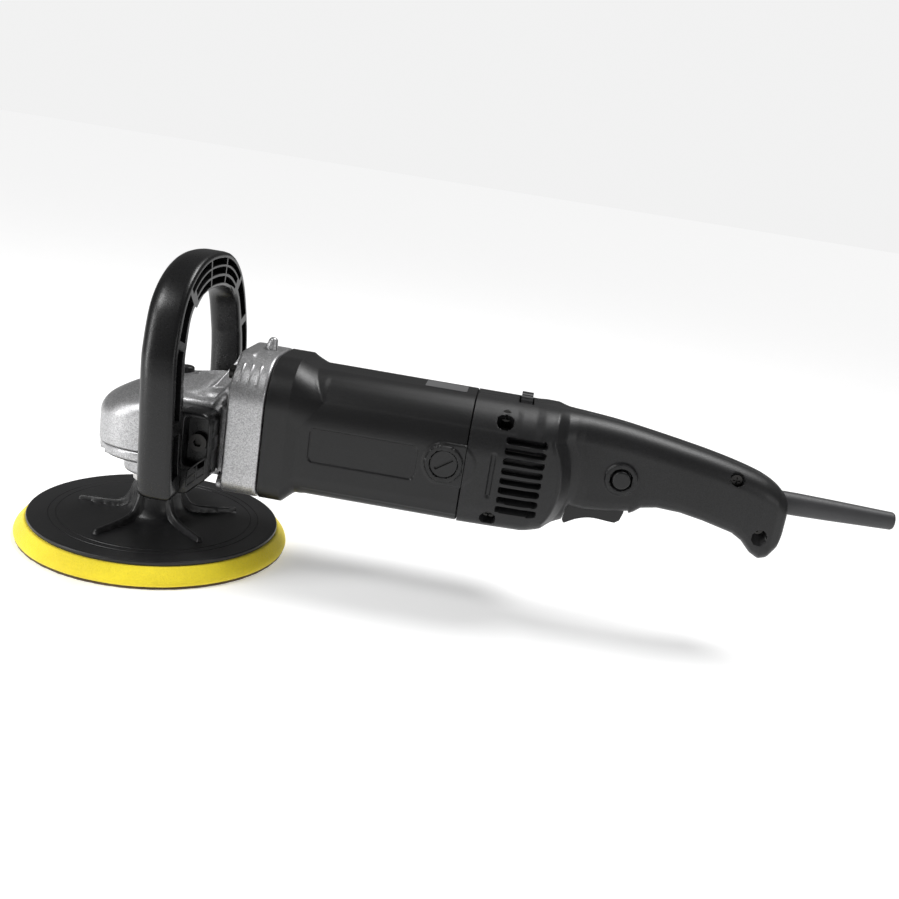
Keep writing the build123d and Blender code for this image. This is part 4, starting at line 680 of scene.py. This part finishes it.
finish(bright_steel, "spindle", "hub_insert", "gear_retaining_ring", "spindle_bearing", "bearing_plate",
       "bearing_retainer", "front_bearing", "rear_bearing", "spindle_lock_pin", "motor_shaft", "trigger_pin",
       "loop_washers")
# Screws and bolts: their near-black is partly the blackened steel and partly painted shade for their deep wells
# and recesses.
finish(surface("blackened_screws_and_well_shade", (0.035, 0.034, 0.033), 0.38, 0.9, grain=(1200.0, 0.00002)),
       "bearing_box_screws", "flange_screws", "handle_screws", "cord_clamp_screws", "loop_bolts")
finish(surface("ground_gears", (0.33, 0.32, 0.31), 0.30, 1.0, grain=(1500.0, 0.00001)),
       "bevel_gear", "bevel_pinion")
finish(surface("spring_wire", (0.40, 0.39, 0.37), 0.30, 1.0, grain=(900.0, 0.00001)),
       "spindle_lock_spring", "trigger_spring", "lock_button_spring", "brush_springs")
finish(surface("laminations", (0.16, 0.15, 0.15), 0.45, 0.9, grain=(2500.0, 0.00004)),
       "armature_core", "stator_core")

# ---- Copper, brass and carbon
# The windings are varnished copper wire, the spindle bush and brush holders are brass, the brushes are
# carbon.
finish(surface("varnished_windings", (0.45, 0.14, 0.04), 0.35, 0.8, grain=(1800.0, 0.0002), blotch=0.3),
       "armature_windings", "field_coils", "commutator")
finish(surface("brass_bush", (0.60, 0.42, 0.16), 0.34, 1.0, grain=(900.0, 0.00001)),
       "spindle_bush", "brush_holders")
finish(surface("carbon_block", (0.02, 0.02, 0.02), 0.6, grain=(1500.0, 0.00003)), "carbon_brushes")

# ---- Small mouldings
# Fan, baffle, switch, speed controller and cord clamp are plain dark nylon; the caps, buttons, trigger and
# dial are smoother black mouldings that hands polish; the washer and cord sleeve are rubber.
finish(surface("inner_nylon", (0.03, 0.03, 0.032), 0.5, grain=(1200.0, 0.00003)), "fan", "baffle_plate",
       "switch_body", "speed_controller", "cord_clamp")
finish(surface("polished_nylon", (0.007, 0.007, 0.0073), 0.34, gloss=0.38, grain=(1300.0, 0.00003),
               second=(240.0, 0.00003)),
       "brush_caps", "spindle_lock_button", "lock_button", "trigger")
finish(surface("dial_nylon", (0.022, 0.022, 0.023), 0.42, grain=(1300.0, 0.00003)), "speed_dial")
finish(surface("sleeve_rubber", (0.030, 0.030, 0.032), 0.52, grain=(900.0, 0.00006), blotch=0.2),
       "cord_sleeve", "dust_washer")
finish(surface("label_foil", (0.26, 0.26, 0.265), 0.34, 0.7, grain=(1800.0, 0.00002)), "rating_label")

# ---- Floor, light and camera
# A pale sweep of floor below the pad, a large soft light above and to the left, a weaker one from the
# right, and a camera at eye height in front of the motor's side, rolled a little.
floor_points = np.array([(-30000, -30000, 0), (30000, -30000, 0), (30000, 30000, 0), (-30000, 30000, 0)])
white = surface("floor_paint", (0.86, 0.86, 0.86), 0.75, grain=(60.0, 0.00002), blotch=0.01)
white.node_tree.nodes["Principled BSDF"].inputs["Emission Color"].default_value = (1, 1, 1, 1)
white.node_tree.nodes["Principled BSDF"].inputs["Emission Strength"].default_value = 0.35
floor = put("floor", floor_points - np.array([0, 0, 0.05]), [np.array([[0, 1, 2, 3]])], white, None,
            smooth=False)

world = bpy.data.worlds.new("studio")
bpy.context.scene.world = world
world.use_nodes = True
backdrop = world.node_tree.nodes["Background"]
ray = world.node_tree.nodes.new("ShaderNodeLightPath")
bright = world.node_tree.nodes.new("ShaderNodeMapRange")
bright.inputs["To Min"].default_value, bright.inputs["To Max"].default_value = 0.14, 0.885
world.node_tree.links.new(ray.outputs["Is Camera Ray"], bright.inputs["Value"])
world.node_tree.links.new(bright.outputs["Result"], backdrop.inputs["Strength"])
backdrop.inputs["Color"].default_value = (1, 1, 1, 1)


def soft_light(name, place, aim, size, watts):
    """A rectangular area light at a place in metres, turned to face the aim point."""
    lamp = bpy.data.lights.new(name, "AREA")
    lamp.energy, lamp.shape, lamp.size, lamp.size_y = watts, "RECTANGLE", *size
    obj = bpy.data.objects.new(name, lamp)
    obj.location = place
    obj.rotation_euler = (Vector(aim) - Vector(place)).to_track_quat("-Z", "Y").to_euler()
    bpy.context.scene.collection.objects.link(obj)


soft_light("key", (-0.55, -0.45, 0.95), (0.08, 0.0, 0.10), (0.3, 0.3), 5.0)
soft_light("top", (0.35, 0.45, 1.1), (0.2, 0.0, 0.1), (0.6, 0.6), 2.5)
soft_light("fill", (1.1, -0.7, 0.4), (0.2, 0.0, 0.1), (0.3, 0.3), 1.5)
soft_light("strip", (-0.75, -0.55, 0.32), (0.02, -0.05, 0.12), (0.10, 0.7), 4.0)

sun = bpy.data.lights.new("sun", "SUN")
sun.energy, sun.angle = 1.9, math.radians(25)
sun_holder = bpy.data.objects.new("sun", sun)
sun_holder.rotation_euler = Vector((0.35, 0.30, 1.0)).to_track_quat("Z", "Y").to_euler()
bpy.context.scene.collection.objects.link(sun_holder)

right = Vector((0.984, 0.095, 0.152)).normalized()
up = Vector((-0.172, 0.258, 0.951))
up = (up - right * up.dot(right)).normalized()
turn = Matrix((right, up, right.cross(up))).transposed().to_4x4()
turn.translation = Vector((0.2255, -0.6149, 0.2693))
lens = bpy.data.cameras.new("camera")
lens.sensor_width, lens.lens, lens.clip_start = 36.0, 39.06, 0.01
camera = bpy.data.objects.new("camera", lens)
camera.matrix_world = turn
bpy.context.scene.collection.objects.link(camera)
bpy.context.scene.camera = camera
bpy.context.scene.view_settings.view_transform = "Standard"
